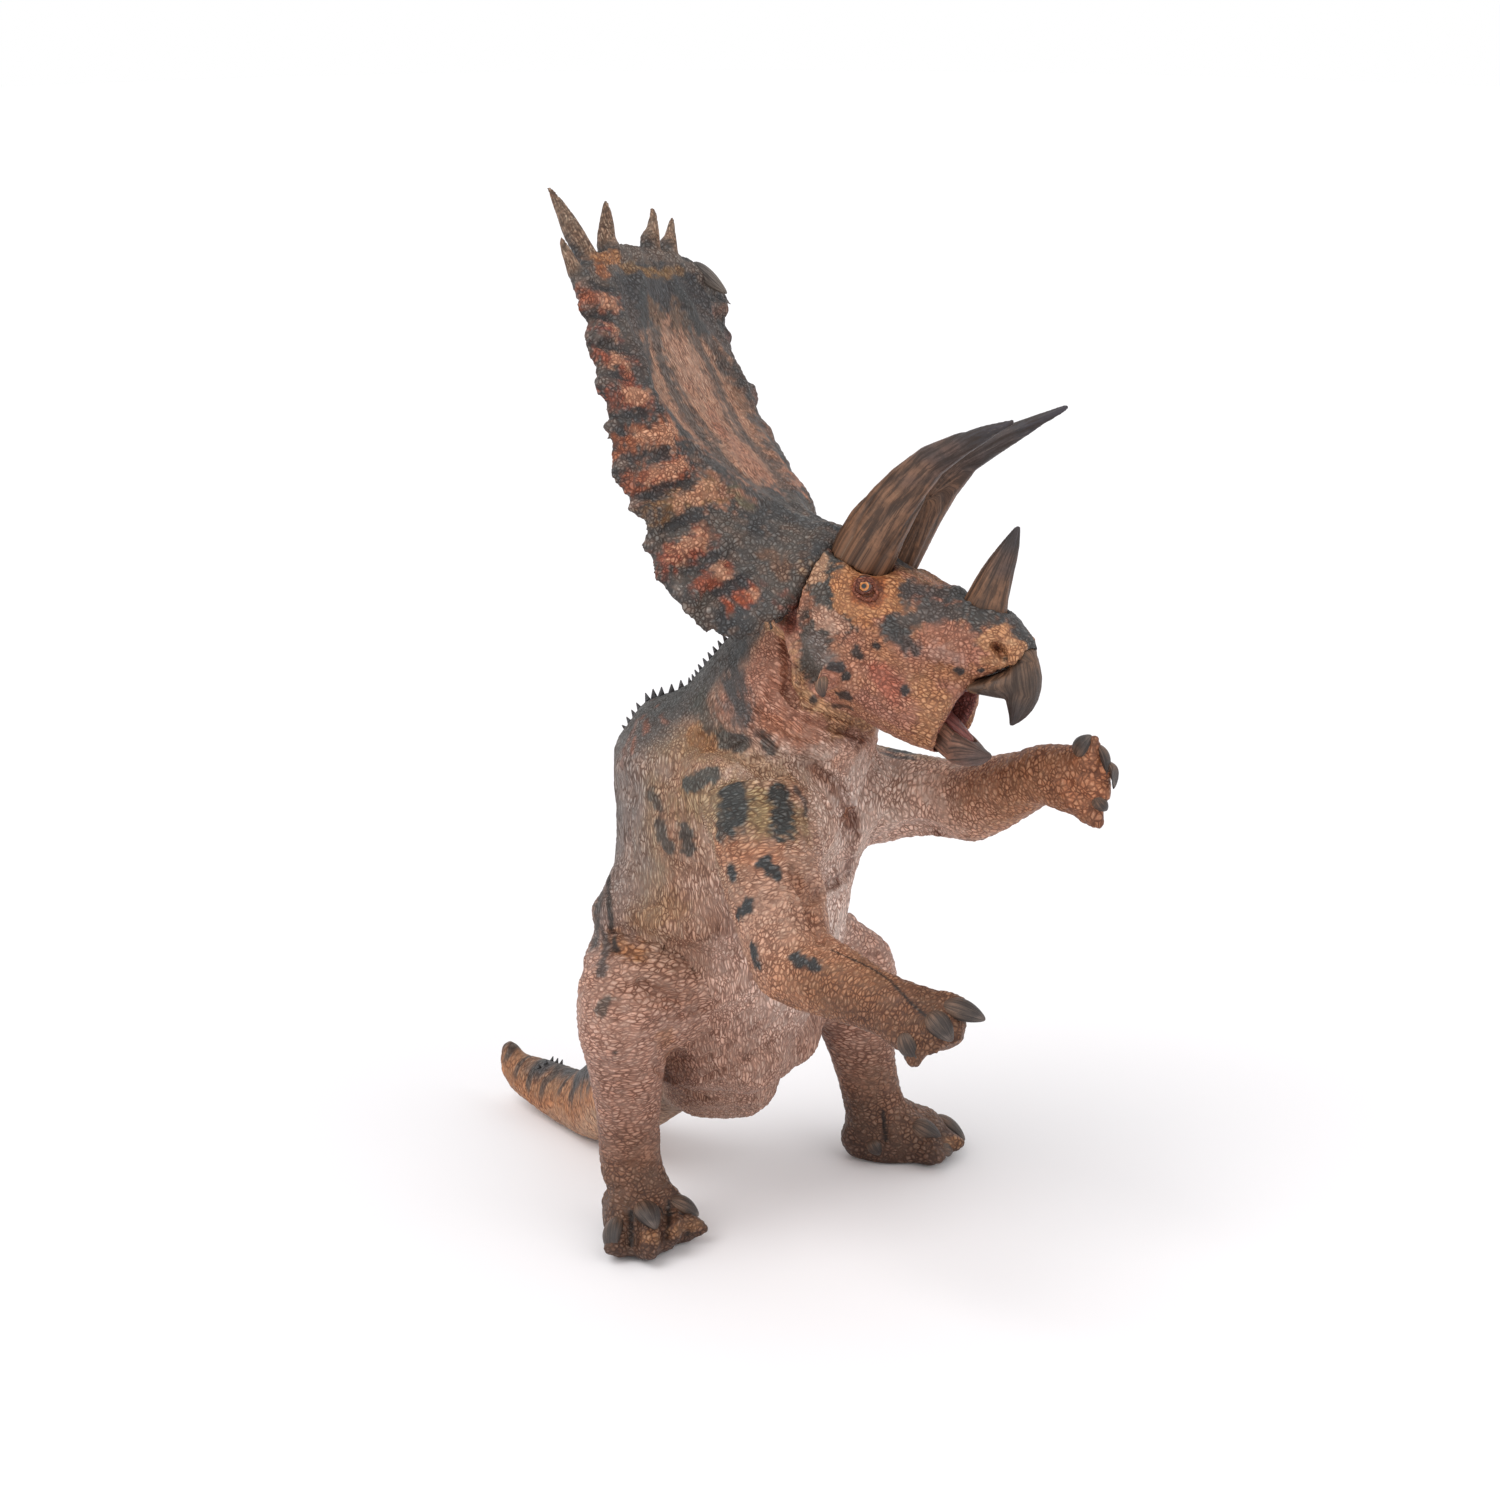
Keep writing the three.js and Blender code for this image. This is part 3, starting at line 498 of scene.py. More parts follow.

# %% [markdown]
# A brown wash is painted into every hollow: partly the toy's own wash, partly painted shade. To know
# where, each vertex looks about with a fan of short rays: the more of them hit the figure, the deeper
# the hollow it lies in.

# %% Measure the hollows
ray_count, ray_reach, ray_lift = 18, 14 * mm, 0.4 * mm
random = np.random.default_rng(5)
fan = random.normal(size=(ray_count, 3))
fan /= np.linalg.norm(fan, axis=1)[:, None]
clay = Surface(skin)
hollow = np.zeros(len(clay.places))
for ray in fan:
    lean = clay.normals @ ray
    ways = ray * np.sign(lean)[:, None] + clay.normals * 0.3
    starts = clay.places + clay.normals * ray_lift
    for number, (start, way) in enumerate(zip(starts, ways)):
        if clay.tree.ray_cast(start, way, ray_reach)[0] is not None:
            hollow[number] += abs(lean[number])
hollow /= np.abs(clay.normals @ fan.T).sum(1)
pairs = np.array([edge.vertices[:] for edge in skin.data.edges])
for _ in range(6):
    total, count = hollow.copy(), np.ones(len(hollow))
    for a, b in ((0, 1), (1, 0)):
        np.add.at(total, pairs[:, a], hollow[pairs[:, b]])
        np.add.at(count, pairs[:, a], 1)
    hollow = total / count
store(skin, "hollow", hollow)
print("hollows up to", round(float(hollow.max()), 2), "mean", round(float(hollow.mean()), 2))

# %% [markdown]
# Finer skin: the mesh is halved with a subdivision surface, so that folds, scales and nails have
# enough points. Then come the sharp folds, wherever skin bunches up: the neck, elbow, groin and toes.

# %% Halve the mesh and crease it
apply_with(skin, "SUBSURF", levels=1, render_levels=1)
print("fine skin:", len(skin.data.vertices), "vertices")
clay = Surface(skin)
# radius, depth, line in the picture
body_creases = table("""
    0.8 0.85 762,688 790,712 830,728 872,738
    0.7 0.75 770,700 800,728 840,742
    0.6 0.5 772,674 800,706 845,722
    0.7 0.6 745,762 790,757 830,765
    0.7 0.7 758,712 785,738 825,752
    0.6 0.4 752,730 780,755 815,762
    0.8 0.7 775,765 812,765 838,785 852,815 855,838
    0.6 0.45 795,775 822,795 836,822
    0.9 0.8 855,872 838,880 818,895 806,905
    0.8 0.7 792,868 800,892 812,922 822,945
    0.6 0.5 868,868 850,880 838,905 832,940
    0.6 0.45 688,928 698,940 708,953
    0.6 0.45 712,937 722,945 733,950
    0.7 0.5 665,950 685,960 697,972
    0.8 0.6 612,934 640,945 665,950
    0.9 0.7 640,983 660,993 678,998
    0.8 0.6 645,1028 665,1018 690,1012 715,1003
    0.8 0.6 655,1065 668,1080 690,1092 705,1098
    0.6 0.4 690,1045 720,1030 750,1010
    0.6 0.4 700,1060 730,1045 765,1020
    0.6 0.4 700,1080 740,1062 775,1040
    0.5 0.35 700,735 712,748 728,752 745,742
    0.6 0.4 655,845 670,860 690,868
    0.5 0.35 625,890 645,905 660,905""")
for radius, depth, line in body_creases:
    runs = clay.seen(line)
    clay.crease(runs, radius, depth)
    clay.crease(clay.mirrored(runs, body_middle), radius, depth * 0.8)
clay.settle()
print("creases:", len(body_creases))

# %% [markdown]
# The face: an orbit round each eye with a brow above it, a nostril pit with a soft rim, a collar fold
# behind the cheek, a lip line along the beak, and the seam between cheek and frill.

# %% Carve the face
# radius, height, line in the picture
face_strokes = table("""
    3.4 0.7 838,574 842,604 862,622 884,608 892,584
    3.2 0.8 842,566 860,556 885,562
    2.2 -0.9 866,588 869,590
    2.6 0.8 988,642 996,634 1012,644 1014,656 1000,662
    1.4 -3.2 994,644 999,649 1004,657
    1.2 0.9 990,640 1000,637 1010,648 1012,660
    2 1.9 770,616 790,630 798,655 799,684
    1.5 -2 784,640 787,665 787,690 796,704
    1.5 0.8 800,700 820,714 850,724
    1.3 0.6 1026,654 1012,672 990,680 968,684 948,698 936,716 932,745
    2.6 0.6 905,575 930,588 960,592
    3 0.5 880,690 895,705
    2 -0.5 905,650 925,665 950,672
    2 -0.5 850,640 880,655
    0.8 -0.8 805,585 806,625""")
for radius, height, line in face_strokes:
    runs = clay.seen(line)
    clay.carve(runs, radius, height)
    clay.carve(clay.mirrored(runs, head_middle), radius, height)
clay.settle()
print("face strokes:", len(face_strokes))

# %% [markdown]
# Paint tools. Colours are written as a painter mixes them, as ordinary screen colours, and turned into
# light values once. Each vertex carries its paint; a dab lays colour over it with a ragged edge. Stops
# of a colour fade are written as a value and a colour, one after the other.

# %% Paint tools
def tone(code):
    """A screen colour such as c9ad98 as light values."""
    channels = np.array([int(code[i:i + 2], 16) for i in (0, 2, 4)]) / 255
    return np.where(channels <= 0.04045, channels / 12.92, ((channels + 0.055) / 1.055) ** 2.4)


def stops_of(text):
    return [(float(at), tone(code)) for at, code in (stop.split() for stop in text.split(","))]


def fade(values, text):
    """Colours that run smoothly through stops."""
    at, colours = zip(*stops_of(text))
    return np.stack([np.interp(values, at, channel) for channel in zip(*colours)], 1)


def new_material(name):
    material = bpy.data.materials.new(name)
    material.use_nodes = True
    return material


def mix(under, over, amount):
    return under + (over - under) * np.asarray(amount)[..., None]


class Paint:
    """The colour of each vertex of a surface, laid on in dabs."""

    def __init__(self, surface, colours):
        self.surface, self.colours = surface, colours

    def dab(self, runs, radius, colour, amount=1.0, soft=0.5, ragged=0.3, seed=1):
        grown = 1 + 1.2 * ragged
        near, off = self.surface.touch(runs, radius * grown * mm)
        spots = self.surface.places[near]
        torn = 0.6 * wobble(spots, 2.4, seed) + 0.7 * wobble(spots, 1.0, seed + 1)
        cover = eased((1 - off * grown - ragged * torn) / soft) * amount
        self.colours[near] = mix(self.colours[near], tone(colour), cover)


# %% [markdown]
# The base coat of the skin. The animal is countershaded: slate on the back, grey-brown and olive down
# the flank, pinkish cream on chest and belly, and ochre hands and feet. The angle round the body, from
# the spine at 0 to the breastbone at 180 degrees, chooses the colour, with a wavering edge.

# %% Base coat
places = clay.places / mm
back_heights = [30, 42, 53, 64, 74, 85, 94, 102, 112, 135]
back_places = [-9, -6.6, -4.4, -4.6, -3.2, -0.8, 0, 3.6, 8, 16]
spine_x = np.interp(places[:, 2], back_heights, back_places)
round_body = np.degrees(np.arctan2(np.abs(places[:, 1] + 4.1), -(places[:, 0] - spine_x)))
round_body += 9 * wobble(clay.places, 14, 3) + 4 * wobble(clay.places, 4, 4)
torso_paint = fade(round_body, """
    0 55585a, 38 706e6c, 58 958a84, 80 a08c75, 98 ac8a74, 116 ddc2b4, 180 eadbd3""")
low = eased((58 - places[:, 2]) / 22) * eased((round_body - 40) / 30)
nape = eased((places[:, 2] - 92) / 16) * eased((84 - round_body) / 26)
neck = eased((places[:, 2] - 101) / 8) * eased((round_body - 62) / 30)
for colour, cover in (("b08c7a", low * 0.85), ("44494a", nape * 0.85), ("c8947e", neck * 0.9)):
    torso_paint = mix(torso_paint, tone(colour), cover)


def along_limb(start, end):
    start, end = np.array(start), np.array(end)
    way = end - start
    return (places - start) @ way / (way @ way)


arm_right_paint = fade(along_limb((14, -26, 95), (56, -36, 60)) + 0.05 * wobble(clay.places, 6, 5), """
    0 a28868, 0.2 b28d76, 0.4 bf9b86, 0.6 b98a6b, 0.72 9a6f50, 0.86 7f5940, 1 735139""")
arm_left_paint = fade(along_limb((12, 16, 85), (66, 9, 98)) + 0.05 * wobble(clay.places, 6, 6), """
    0 d2b5a6, 0.35 d0b09e, 0.55 c0957a, 0.75 ac7c5a, 1 99694c""")
leg_paint = fade(places[:, 2] + 3 * wobble(clay.places, 8, 7), """
    2 5c4334, 9 634836, 17 7f5d48, 30 a6806e, 50 c09b8a, 66 b6907d""")
tail_line = np.interp(places[:, 0], [-72, -58, -44, -20], [9, 6, 9, 30])
round_tail = places[:, 2] - tail_line + 1.2 * wobble(clay.places, 5, 8)
tail_paint = fade(round_tail, "-6 bd9c80, -1 b5835c, 3 9f7a5c, 5.5 555557, 9 4a4c4f")
stripes = eased((np.sin(places[:, 0] * 1.35 + 1.5 * wobble(clay.places, 8, 9)) - 0.25) / 0.5)
stripes *= eased((round_tail + 1) / 3)
tail_paint = mix(tail_paint, tone("3f4345"), stripes * 0.75)
head_paint = mix(tone("b5835f"), tone("ad7a66"), 0.5 + 0.5 * wobble(clay.places, 4, 10))
coats = [torso_paint, arm_right_paint, arm_left_paint, leg_paint, leg_paint, tail_paint, head_paint]
colours = sum(recall(skin, f"wide_{node}")[:, None] * coat for node, coat in zip(skin_nodes, coats))
paint = Paint(clay, colours)
print("base coats:", len(coats))

# %% [markdown]
# The head's colours. A dark slate band runs from between the horns over the snout to the beak, the
# cheek is ochre with a pink patch, orange scales ring the eye, and pale and dark dabs dot the cheek.
# Each dab is laid by its place in the fixed view, and again on the far side of the head.

# %% Paint the head
def both_sides(line, radius, colour, middle=head_middle, **brush):
    runs = clay.seen(line)
    paint.dab(runs, radius, colour, **brush)
    if middle is not None:
        paint.dab(clay.mirrored(runs, middle), radius, colour, **brush)


# radius, colour, amount, softness, line in the picture
head_dabs = table("""
    5.2 #50524f 0.95 0.5 795,530 815,545 826,590 826,610 815,640 812,668
    4 #4b4d4b 0.95 0.5 835,535 842,560 838,590 846,612
    3.4 #7b7470 0.85 0.7 815,640 822,655
    4.4 #434749 0.92 0.7 900,590 925,592 960,596 1000,606 1020,628 1031,650
    3.4 #434749 0.92 0.7 897,560 925,572 960,588 985,600
    4 #4a4d4d 0.92 0.7 897,625 930,612 970,612 985,618
    2.2 #484c4d 0.9 0.4 890,628 905,640 915,650
    1.4 #4a4c4b 0.9 0.5 976,615 977,640
    2 #8b6a48 0.7 0.5 905,570 925,582
    3 #a97660 0.85 0.5 930,636 950,632 968,640
    2.8 #b08a7c 0.8 0.6 935,652 955,660
    2.8 #c4946c 0.95 0.4 990,640 1002,634 1014,648 1010,662 992,664
    1 #d8b48c 0.9 0.6 988,642 998,636 1010,645 1013,658
    1.4 #b58260 0.9 0.5 975,668 1000,668 1018,660
    3 #ac6650 0.85 0.7 880,672 895,690
    3.4 #b07f6e 0.8 0.7 868,700 888,715 905,722
    3.4 #b88962 0.8 0.6 925,690 938,705 925,735 928,755
    2.2 #c09a76 0.9 0.6 805,700 830,715 860,722 890,735
    2 #cda47c 0.95 0.5 768,622 784,628 795,650 797,682 812,703 840,718
    3.2 #bb875c 1 0.3 858,566 846,580 848,602 866,612 884,600 886,578 870,566
    2.2 #a8683e 1 0.5 858,578 858,598 875,600 878,580 860,578
    1.3 #6d3a24 0.85 0.7 855,588 860,599 872,600 880,590 874,578 860,577
    2.5 #bf9b7d 0.95 0.3 806,560 818,562 814,574
    2.4 #c4a18c 0.95 0.3 822,618 836,624
    3.6 #93523f 0.95 0.5 784,598 795,604 795,618
    1.8 #86645a 0.8 0.6 790,600 796,606
    1.3 #2f3233 0.9 0.4 857,650 860,655
    1.3 #2f3233 0.95 0.4 875,646
    1.4 #34373a 0.95 0.4 832,666 840,668
    1.3 #2f3233 0.95 0.4 846,677
    1.4 #34373a 0.9 0.4 840,696 847,697
    1.1 #34373a 0.9 0.4 814,700
    1 #4a3f36 0.8 0.5 835,706 850,708
    1.3 #34373a 0.8 0.5 800,685
    1.4 #34373a 0.95 0.4 905,690
    1.2 #34373a 0.95 0.4 959,671
    0.9 #34373a 0.95 0.4 982,671
    0.9 #34373a 0.95 0.4 999,670
    0.8 #34373a 0.95 0.4 1011,667""")
for number, (radius, colour, amount, soft, line) in enumerate(head_dabs):
    both_sides(line, radius, colour, amount=amount, soft=soft, seed=number)

# %% [markdown]
# The body's spots. Dark slate ovals mark the shoulder and run down the near arm; the neck is orange
# and pink between dark patches; the shoulder's hollow between two ovals is yellow olive. The hollows
# that were measured get a brown wash that is partly painted shade, each sharp fold gets a brown line
# that is partly painted shade, and the deepest folds and gaps get near-black lines of painted shade.
# The inside of the cheeks is maroon.

# %% Paint the body
# radius, colour, amount, softness, line in the picture
body_dabs = table("""
    7 #9a855f 0.7 0.8 690,800 740,800 790,820
    5 #a18460 0.6 0.8 700,745 740,760 790,780
    4 #c08560 0.6 0.8 720,850 770,858
    3.2 #a28c64 0.8 0.6 758,800 760,825
    3.5 #3f4444 1 0.55 733,792 736,822
    2.4 #3f4444 0.9 0.6 722,815 722,832
    3.3 #3f4444 1 0.55 781,797 783,828
    2.2 #515552 0.95 0.4 688,786 712,776
    1.8 #4a4d4b 0.9 0.4 685,828 688,850
    1.8 #4a4d4b 0.85 0.5 660,825 668,848
    1.6 #4f524f 0.8 0.5 652,795 660,810
    1.6 #3c4042 1 0.55 730,871 732,877
    1.8 #3c4042 1 0.55 764,861 775,874
    1.9 #3c4042 1 0.55 738,915 748,904
    1.9 #3c4042 1 0.55 752,950 756,964
    1.9 #3c4042 1 0.55 795,957 812,966
    2.2 #4b4f4e 0.9 0.4 722,740 740,742
    1.6 #4b4f4e 0.9 0.4 764,735 772,750
    6 #4c5052 0.95 0.95 737,650 730,690 745,718
    4 #50544f 0.8 0.7 700,700 715,730
    2.6 #a87a4e 0.7 0.6 694,733 708,745
    4 #b87c5c 0.7 0.8 765,720 800,740
    4 #b9856e 0.7 0.8 770,660 775,690
    4 #c2957c 0.6 0.8 870,740 880,752
    4 #a3815c 0.6 0.8 640,925 680,905
    3.5 #a8723e 0.7 0.8 612,942 640,955
    3 #a5754e 0.6 0.8 665,1035 672,1060
    1.6 #43474a 0.8 0.7 606,935 604,955 600,975
    2 #5a5a55 0.8 0.5 606,1000 600,1008
    1.3 #a5664a 0.7 1 641,706 643,716
    1.6 #8d5f4c 0.4 1 636,722 626,745 622,765
    1.2 #a5664a 0.6 1 645,722 646,732
    1.2 #a5664a 0.6 1 634,738 632,752
    1 #a5664a 0.5 1 660,716 667,724
    1 #a5664a 0.5 1 652,700 656,706
    1 #2c2a28 0.9 0.6 608,878 609,905 611,930 616,950
    1.2 #3f4245 0.8 0.6 880,752 900,757 912,758
    2.2 #8d5a3c 0.75 0.9 812,770 838,790 850,822
    1.4 #7c4a34 0.7 0.9 853,815 855,840 848,868 832,884 812,896
    3.2 #a87a5e 0.6 0.9 802,885 812,910 822,940
    5 #dcc6b8 0.6 0.9 820,810 830,845 825,862
    3.4 #a9988e 0.6 0.9 640,765 665,770
    3 #a08c80 0.5 0.9 628,850 632,900""")
for number, (radius, colour, amount, soft, line) in enumerate(body_dabs):
    both_sides(line, radius, colour, middle=body_middle, amount=amount, soft=soft, seed=40 + number)
both_sides([(602, 885), (597, 915), (595, 945)], 3.0, "4b4b4b", middle=None, amount=0.9, soft=0.9)
# Painted shade, partly the toy's wash: the measured hollows are darkened towards a brown tint.
hollow = eased((recall(skin, "hollow") - 0.08) / 0.6)
shade_and_streak_tint = np.array([0.42, 0.28, 0.22])
paint.colours *= mix(np.ones(3), shade_and_streak_tint, hollow * 0.75)
both_sides([(668, 1050), (676, 1068)], 4.5, "a57e6a", middle=body_middle, amount=0.6, soft=1.0)
# Painted shade: near-black lines in the collar fold, the frill seam, the nostril pits, along the near
# forearm's edge and between toes and fingers.
# radius, line in the picture
shade_lines = table("""
    0.9 786,640 790,665 788,690 798,703
    0.5 805,585 806,625
    1 994,644 999,649 1005,658
    0.4 832,950 850,958 870,967 890,980 910,1002 942,1030
    0.7 631,1212 631,1245
    0.7 669,1202 668,1238
    0.6 883,1112 886,1140
    0.6 1072,770 1095,776 1104,760""")
for radius, line in shade_lines:
    both_sides(line, radius, "22160f", amount=0.95, soft=0.6, ragged=0.1)
# Partly painted shade, partly the toy's wash: a brown line along each sharp fold, darker where the fold is
# deeper.
for radius, depth, line in body_creases:
    amount = 0.55 + 0.4 * depth
    both_sides(line, 0.9 * radius, "6e3f2b", middle=body_middle, amount=amount, soft=0.9, ragged=0.1)
# radius, colour, amount, softness, line on a toe or a finger
toe_dabs = table("""
    2.6 #98704c 0.7 0.9 645,1238 655,1236
    2.6 #98704c 0.7 0.9 675,1230 695,1224
    2.6 #98704c 0.7 0.9 948,1146 958,1143
    3.2 #ad7552 0.8 0.7 1075,765 1095,760 1110,775
    3.2 #ad7552 0.8 0.7 1068,795 1080,805
    3.2 #ad7552 0.8 0.7 1090,785 1100,800""")
for radius, colour, amount, soft, line in toe_dabs:
    both_sides(line, radius, colour, middle=None, amount=amount, soft=soft)

ahead, left, up = (np.array([head_place.inverted() @ Vector(p) for p in clay.places]) / mm).T
throat = (ahead > 9) & (up < -1) & (up > -22) & (np.abs(left) < 6.5)
throat &= (clay.normals @ np.array(head_across) * np.sign(left) < -0.1) & (recall(skin, "in_head") > 0.5)
paint.colours[throat] = tone("7a3d36")
store_paint(skin, paint.colours)
print("dabs of paint:", len(head_dabs) + len(body_dabs))

# %% [markdown]
# Scales are cells: a Voronoi pattern gives a field of rounded islands with creases between them, and
# stretching the pattern turns pebbles into the long wrinkles of a flank or the rings of an arm. The
# recipe is made of nodes, and a few short functions make and link them.

# %% Functions that make nodes
def wire(tree, kind, inputs=None, **settings):
    """A new node with its settings, and with its inputs plugged in or set."""
    node = tree.nodes.new(kind)
    for key, value in settings.items():
        setattr(node, key, value)
    for key, value in (inputs or {}).items():
        plug = node.inputs[key]
        if isinstance(value, bpy.types.NodeSocket):
            tree.links.new(value, plug)
        else:
            plug.default_value = value
    return node


def calc(tree, operation, *values):
    return wire(tree, "ShaderNodeMath", dict(enumerate(values)), operation=operation).outputs[0]


def vector_calc(tree, operation, first, second):
    plug = "Scale" if operation == "SCALE" else 1
    return wire(tree, "ShaderNodeVectorMath", {0: first, plug: second}, operation=operation).outputs[0]


def noise(tree, place, scale, detail, roughness=0.5, output=0):
    inputs = {"Vector": place, "Scale": scale, "Detail": detail, "Roughness": roughness}
    return wire(tree, "ShaderNodeTexNoise", inputs).outputs[output]


def ranged(tree, value, low, high, to_low=0.0, to_high=1.0):
    inputs = {"Value": value, "From Min": low, "From Max": high, "To Min": to_low, "To Max": to_high}
    return wire(tree, "ShaderNodeMapRange", inputs, interpolation_type="SMOOTHSTEP").outputs[0]


def blend_numbers(tree, amount, first, second):
    return wire(tree, "ShaderNodeMix", {0: amount, 2: first, 3: second}, data_type="FLOAT").outputs[0]


# %% [markdown]
# One recipe of nodes is used twice: large, to raise the mesh, and fine, in the material. Every piece has
# a grain of its own, which is the size of its scales and two patterns.

# %% A recipe for scales
# Noise bends a pattern by the share wander of its own waves, and an island slopes from 0 to slope.
waves_per_scale, wander, slope = 5, 0.38, 0.3


def drawn_place(tree, place, size, turn=(0, 0, 0), stretch=(1, 1, 1)):
    """The place bent by noise, turned and stretched, so that even cells become long wrinkles."""
    bend = size * waves_per_scale
    colour = noise(tree, place, 1000 / bend, 1.0, output="Color")
    centred = vector_calc(tree, "ADD", colour, (-0.5, -0.5, -0.5))
    push = vector_calc(tree, "SCALE", centred, wander * bend * mm)
    inputs = {"Vector": vector_calc(tree, "ADD", place, push), "Rotation": [math.radians(a) for a in turn]}
    turned = wire(tree, "ShaderNodeVectorRotate", inputs, rotation_type="EULER_XYZ").outputs[0]
    return vector_calc(tree, "MULTIPLY", turned, [1 / s for s in stretch])


def islands(tree, place, size, turn=(0, 0, 0), stretch=(1, 1, 1)):
    """One inside a scale and nought in the creases. Sizes in mm, turns in degrees."""
    drawn = drawn_place(tree, place, size, turn, stretch)
    inputs = {"Vector": drawn, "Scale": 1000 / size}
    cells = wire(tree, "ShaderNodeTexVoronoi", inputs, feature="DISTANCE_TO_EDGE")
    swirl = noise(tree, drawn, 1000 / (size * 1.9), 1.5)
    off_middle = calc(tree, "ABSOLUTE", calc(tree, "SUBTRACT", swirl, 0.5))
    wrinkle = ranged(tree, off_middle, 0.0, 0.05, 0.25, 1.0)
    return calc(tree, "MULTIPLY", wrinkle, ranged(tree, cells.outputs["Distance"], 0.0, slope))


def onto_z(*direction):
    """The turn in degrees that brings a direction to +Z, for patterns that run along or round a piece."""
    turn = Vector(direction).normalized().rotation_difference(Vector((0, 0, 1))).to_euler()
    return tuple(math.degrees(a) for a in turn)


strands, rings = (0.6, 0.6, 3.4), (1.7, 1.7, 0.66)
tail_turn = onto_z(-1, 0.2, -0.4)
frill_turn = onto_z(*(head_turn @ Vector((-0.68, 0, 0.73))))
# The size of the scales in mm, and two patterns, each with its turn in degrees and its stretch.
grains = {
    "torso": (0.92, ((0, 6, 0), strands), (onto_z(12, 10, -11), (0.66, 0.66, 4.2))),
    "arm_right": (1.0, (onto_z(14, -8, -27), rings), (onto_z(24, -2, -3), (1.2, 1.2, 0.7))),
    "arm_left": (1.0, (onto_z(26, 2, 2), rings), (onto_z(21, -6, 12), (1.2, 1.2, 0.8))),
    "leg_right": (1.0, ((0, 8, 0), rings), ((0, 0, 0), (1.1, 1.1, 0.9))),
    "leg_left": (1.0, ((0, -8, 0), rings), ((0, 0, 0), (1.1, 1.1, 0.9))),
    "tail": (1.0, (tail_turn, (2.2, 2.2, 0.6)), (tail_turn, (1.5, 1.5, 0.7))),
    "head": (0.8, ((0, 0, 0), (1, 1, 1)), ((0, -12, 0), (1.7, 1.0, 0.8))),
    "frill": (0.86, ((0, 0, 0), (1, 1, 1)), (frill_turn, (0.5, 0.5, 3.6))),
}


def scale_field(tree, place, patch, grain, larger=1.0):
    """The two patterns of a piece, blended by its patch value."""
    size, *patterns = grain
    fields = [islands(tree, place, size * larger, *pattern) for pattern in patterns]
    return blend_numbers(tree, patch, *fields)


print("grains:", {node: grain[0] for node, grain in grains.items()})

# %% [markdown]
# Geometry nodes raise the scales of a piece, and store their pattern, so that the material can lay the
# brown wash in the real hollows. Near a joint line both neighbours use the same even pebbles, so the
# pieces meet exactly.

# %% Raise the scales
# How much larger the raised scales are than the painted ones, the pebbles' size in mm, and the part of
# the pattern that keeps its height.
raised_size, pebble_size, level = 2.1, 1.6, 0.75


def raise_scales(thing, grain, depth):
    """Lifts the scales of one piece along the stored outward direction, with geometry nodes."""
    tree = bpy.data.node_groups.new(f"{thing.name}_scales", "GeometryNodeTree")
    for way in ("INPUT", "OUTPUT"):
        tree.interface.new_socket("Geometry", in_out=way, socket_type="NodeSocketGeometry")
    start, end = tree.nodes.new("NodeGroupInput"), tree.nodes.new("NodeGroupOutput")
    place = tree.nodes.new("GeometryNodeInputPosition").outputs[0]

    def stored(label, kind="FLOAT"):
        node = wire(tree, "GeometryNodeInputNamedAttribute", {"Name": label}, data_type=kind)
        return node.outputs["Attribute"]

    own = scale_field(tree, place, stored("patch"), grain, raised_size)
    field = blend_numbers(tree, stored("away"), islands(tree, place, pebble_size), own)
    height = calc(tree, "MULTIPLY", stored("relief"), depth * mm)
    rise = calc(tree, "MULTIPLY", calc(tree, "SUBTRACT", field, level), height)
    offset = vector_calc(tree, "SCALE", stored("outward", "FLOAT_VECTOR"), rise)
    inputs = {"Geometry": start.outputs[0], "Name": "crease", "Value": field}
    kept = wire(tree, "GeometryNodeStoreNamedAttribute", inputs, data_type="FLOAT", domain="POINT").outputs[0]
    moved = wire(tree, "GeometryNodeSetPosition", {"Geometry": kept, "Offset": offset}).outputs[0]
    tree.links.new(moved, end.inputs[0])
    apply_with(thing, "NODES", node_group=tree)
    bpy.ops.object.shade_smooth()


# %% [markdown]
# Each face of the skin goes to the moulding with the largest share, and the joint lines between the
# mouldings are found. Scales fade to even pebbles within 3 mm of a joint line, and are low where the
# feet stand on the floor. The patch value says where the second pattern of a piece takes over.

# %% Find the joint lines
in_node = {node: recall(skin, f"in_{node}") for node in skin_nodes}
corner_total = np.empty(len(skin.data.polygons), np.int32)
skin.data.polygons.foreach_get("loop_total", corner_total)
corners = np.empty(len(skin.data.loops), np.int32)
skin.data.loops.foreach_get("vertex_index", corners)
face_of_corner = np.repeat(np.arange(len(corner_total)), corner_total)
owner = np.array([np.bincount(face_of_corner, share[corners]) for share in in_node.values()]).argmax(0)
lowest, highest = np.full(len(places), len(skin_nodes)), np.full(len(places), -1)
np.minimum.at(lowest, corners, owner[face_of_corner])
np.maximum.at(highest, corners, owner[face_of_corner])
on_joint = np.nonzero(lowest != highest)[0]
joint_margin = 3 * mm
joint_tree = KDTree(len(on_joint))
for number, vertex in enumerate(on_joint):
    joint_tree.insert(clay.places[vertex], number)
joint_tree.balance()
off_joint = np.array([joint_tree.find(p)[2] for p in clay.places])
above_floor = eased((places[:, 2] - 0.3) / 1.2)
below_shin = eased((24 - places[:, 2]) / 10)
patches = {
    "torso": eased((places[:, 2] - 96) / 10) * eased((places[:, 0] - 2) / 10),
    "arm_right": eased((along_limb((8, -22, 95), (47, -32, 65)) - 0.42) / 0.2),
    "arm_left": eased((along_limb((5, 20, 84), (51, 16, 98)) - 0.5) / 0.2),
    "leg_right": below_shin,
    "leg_left": below_shin,
    "tail": 0.5,
    "head": eased(0.5 + 0.9 * wobble(clay.places, 9, 21)),
}
store(skin, "away", eased(off_joint / joint_margin))
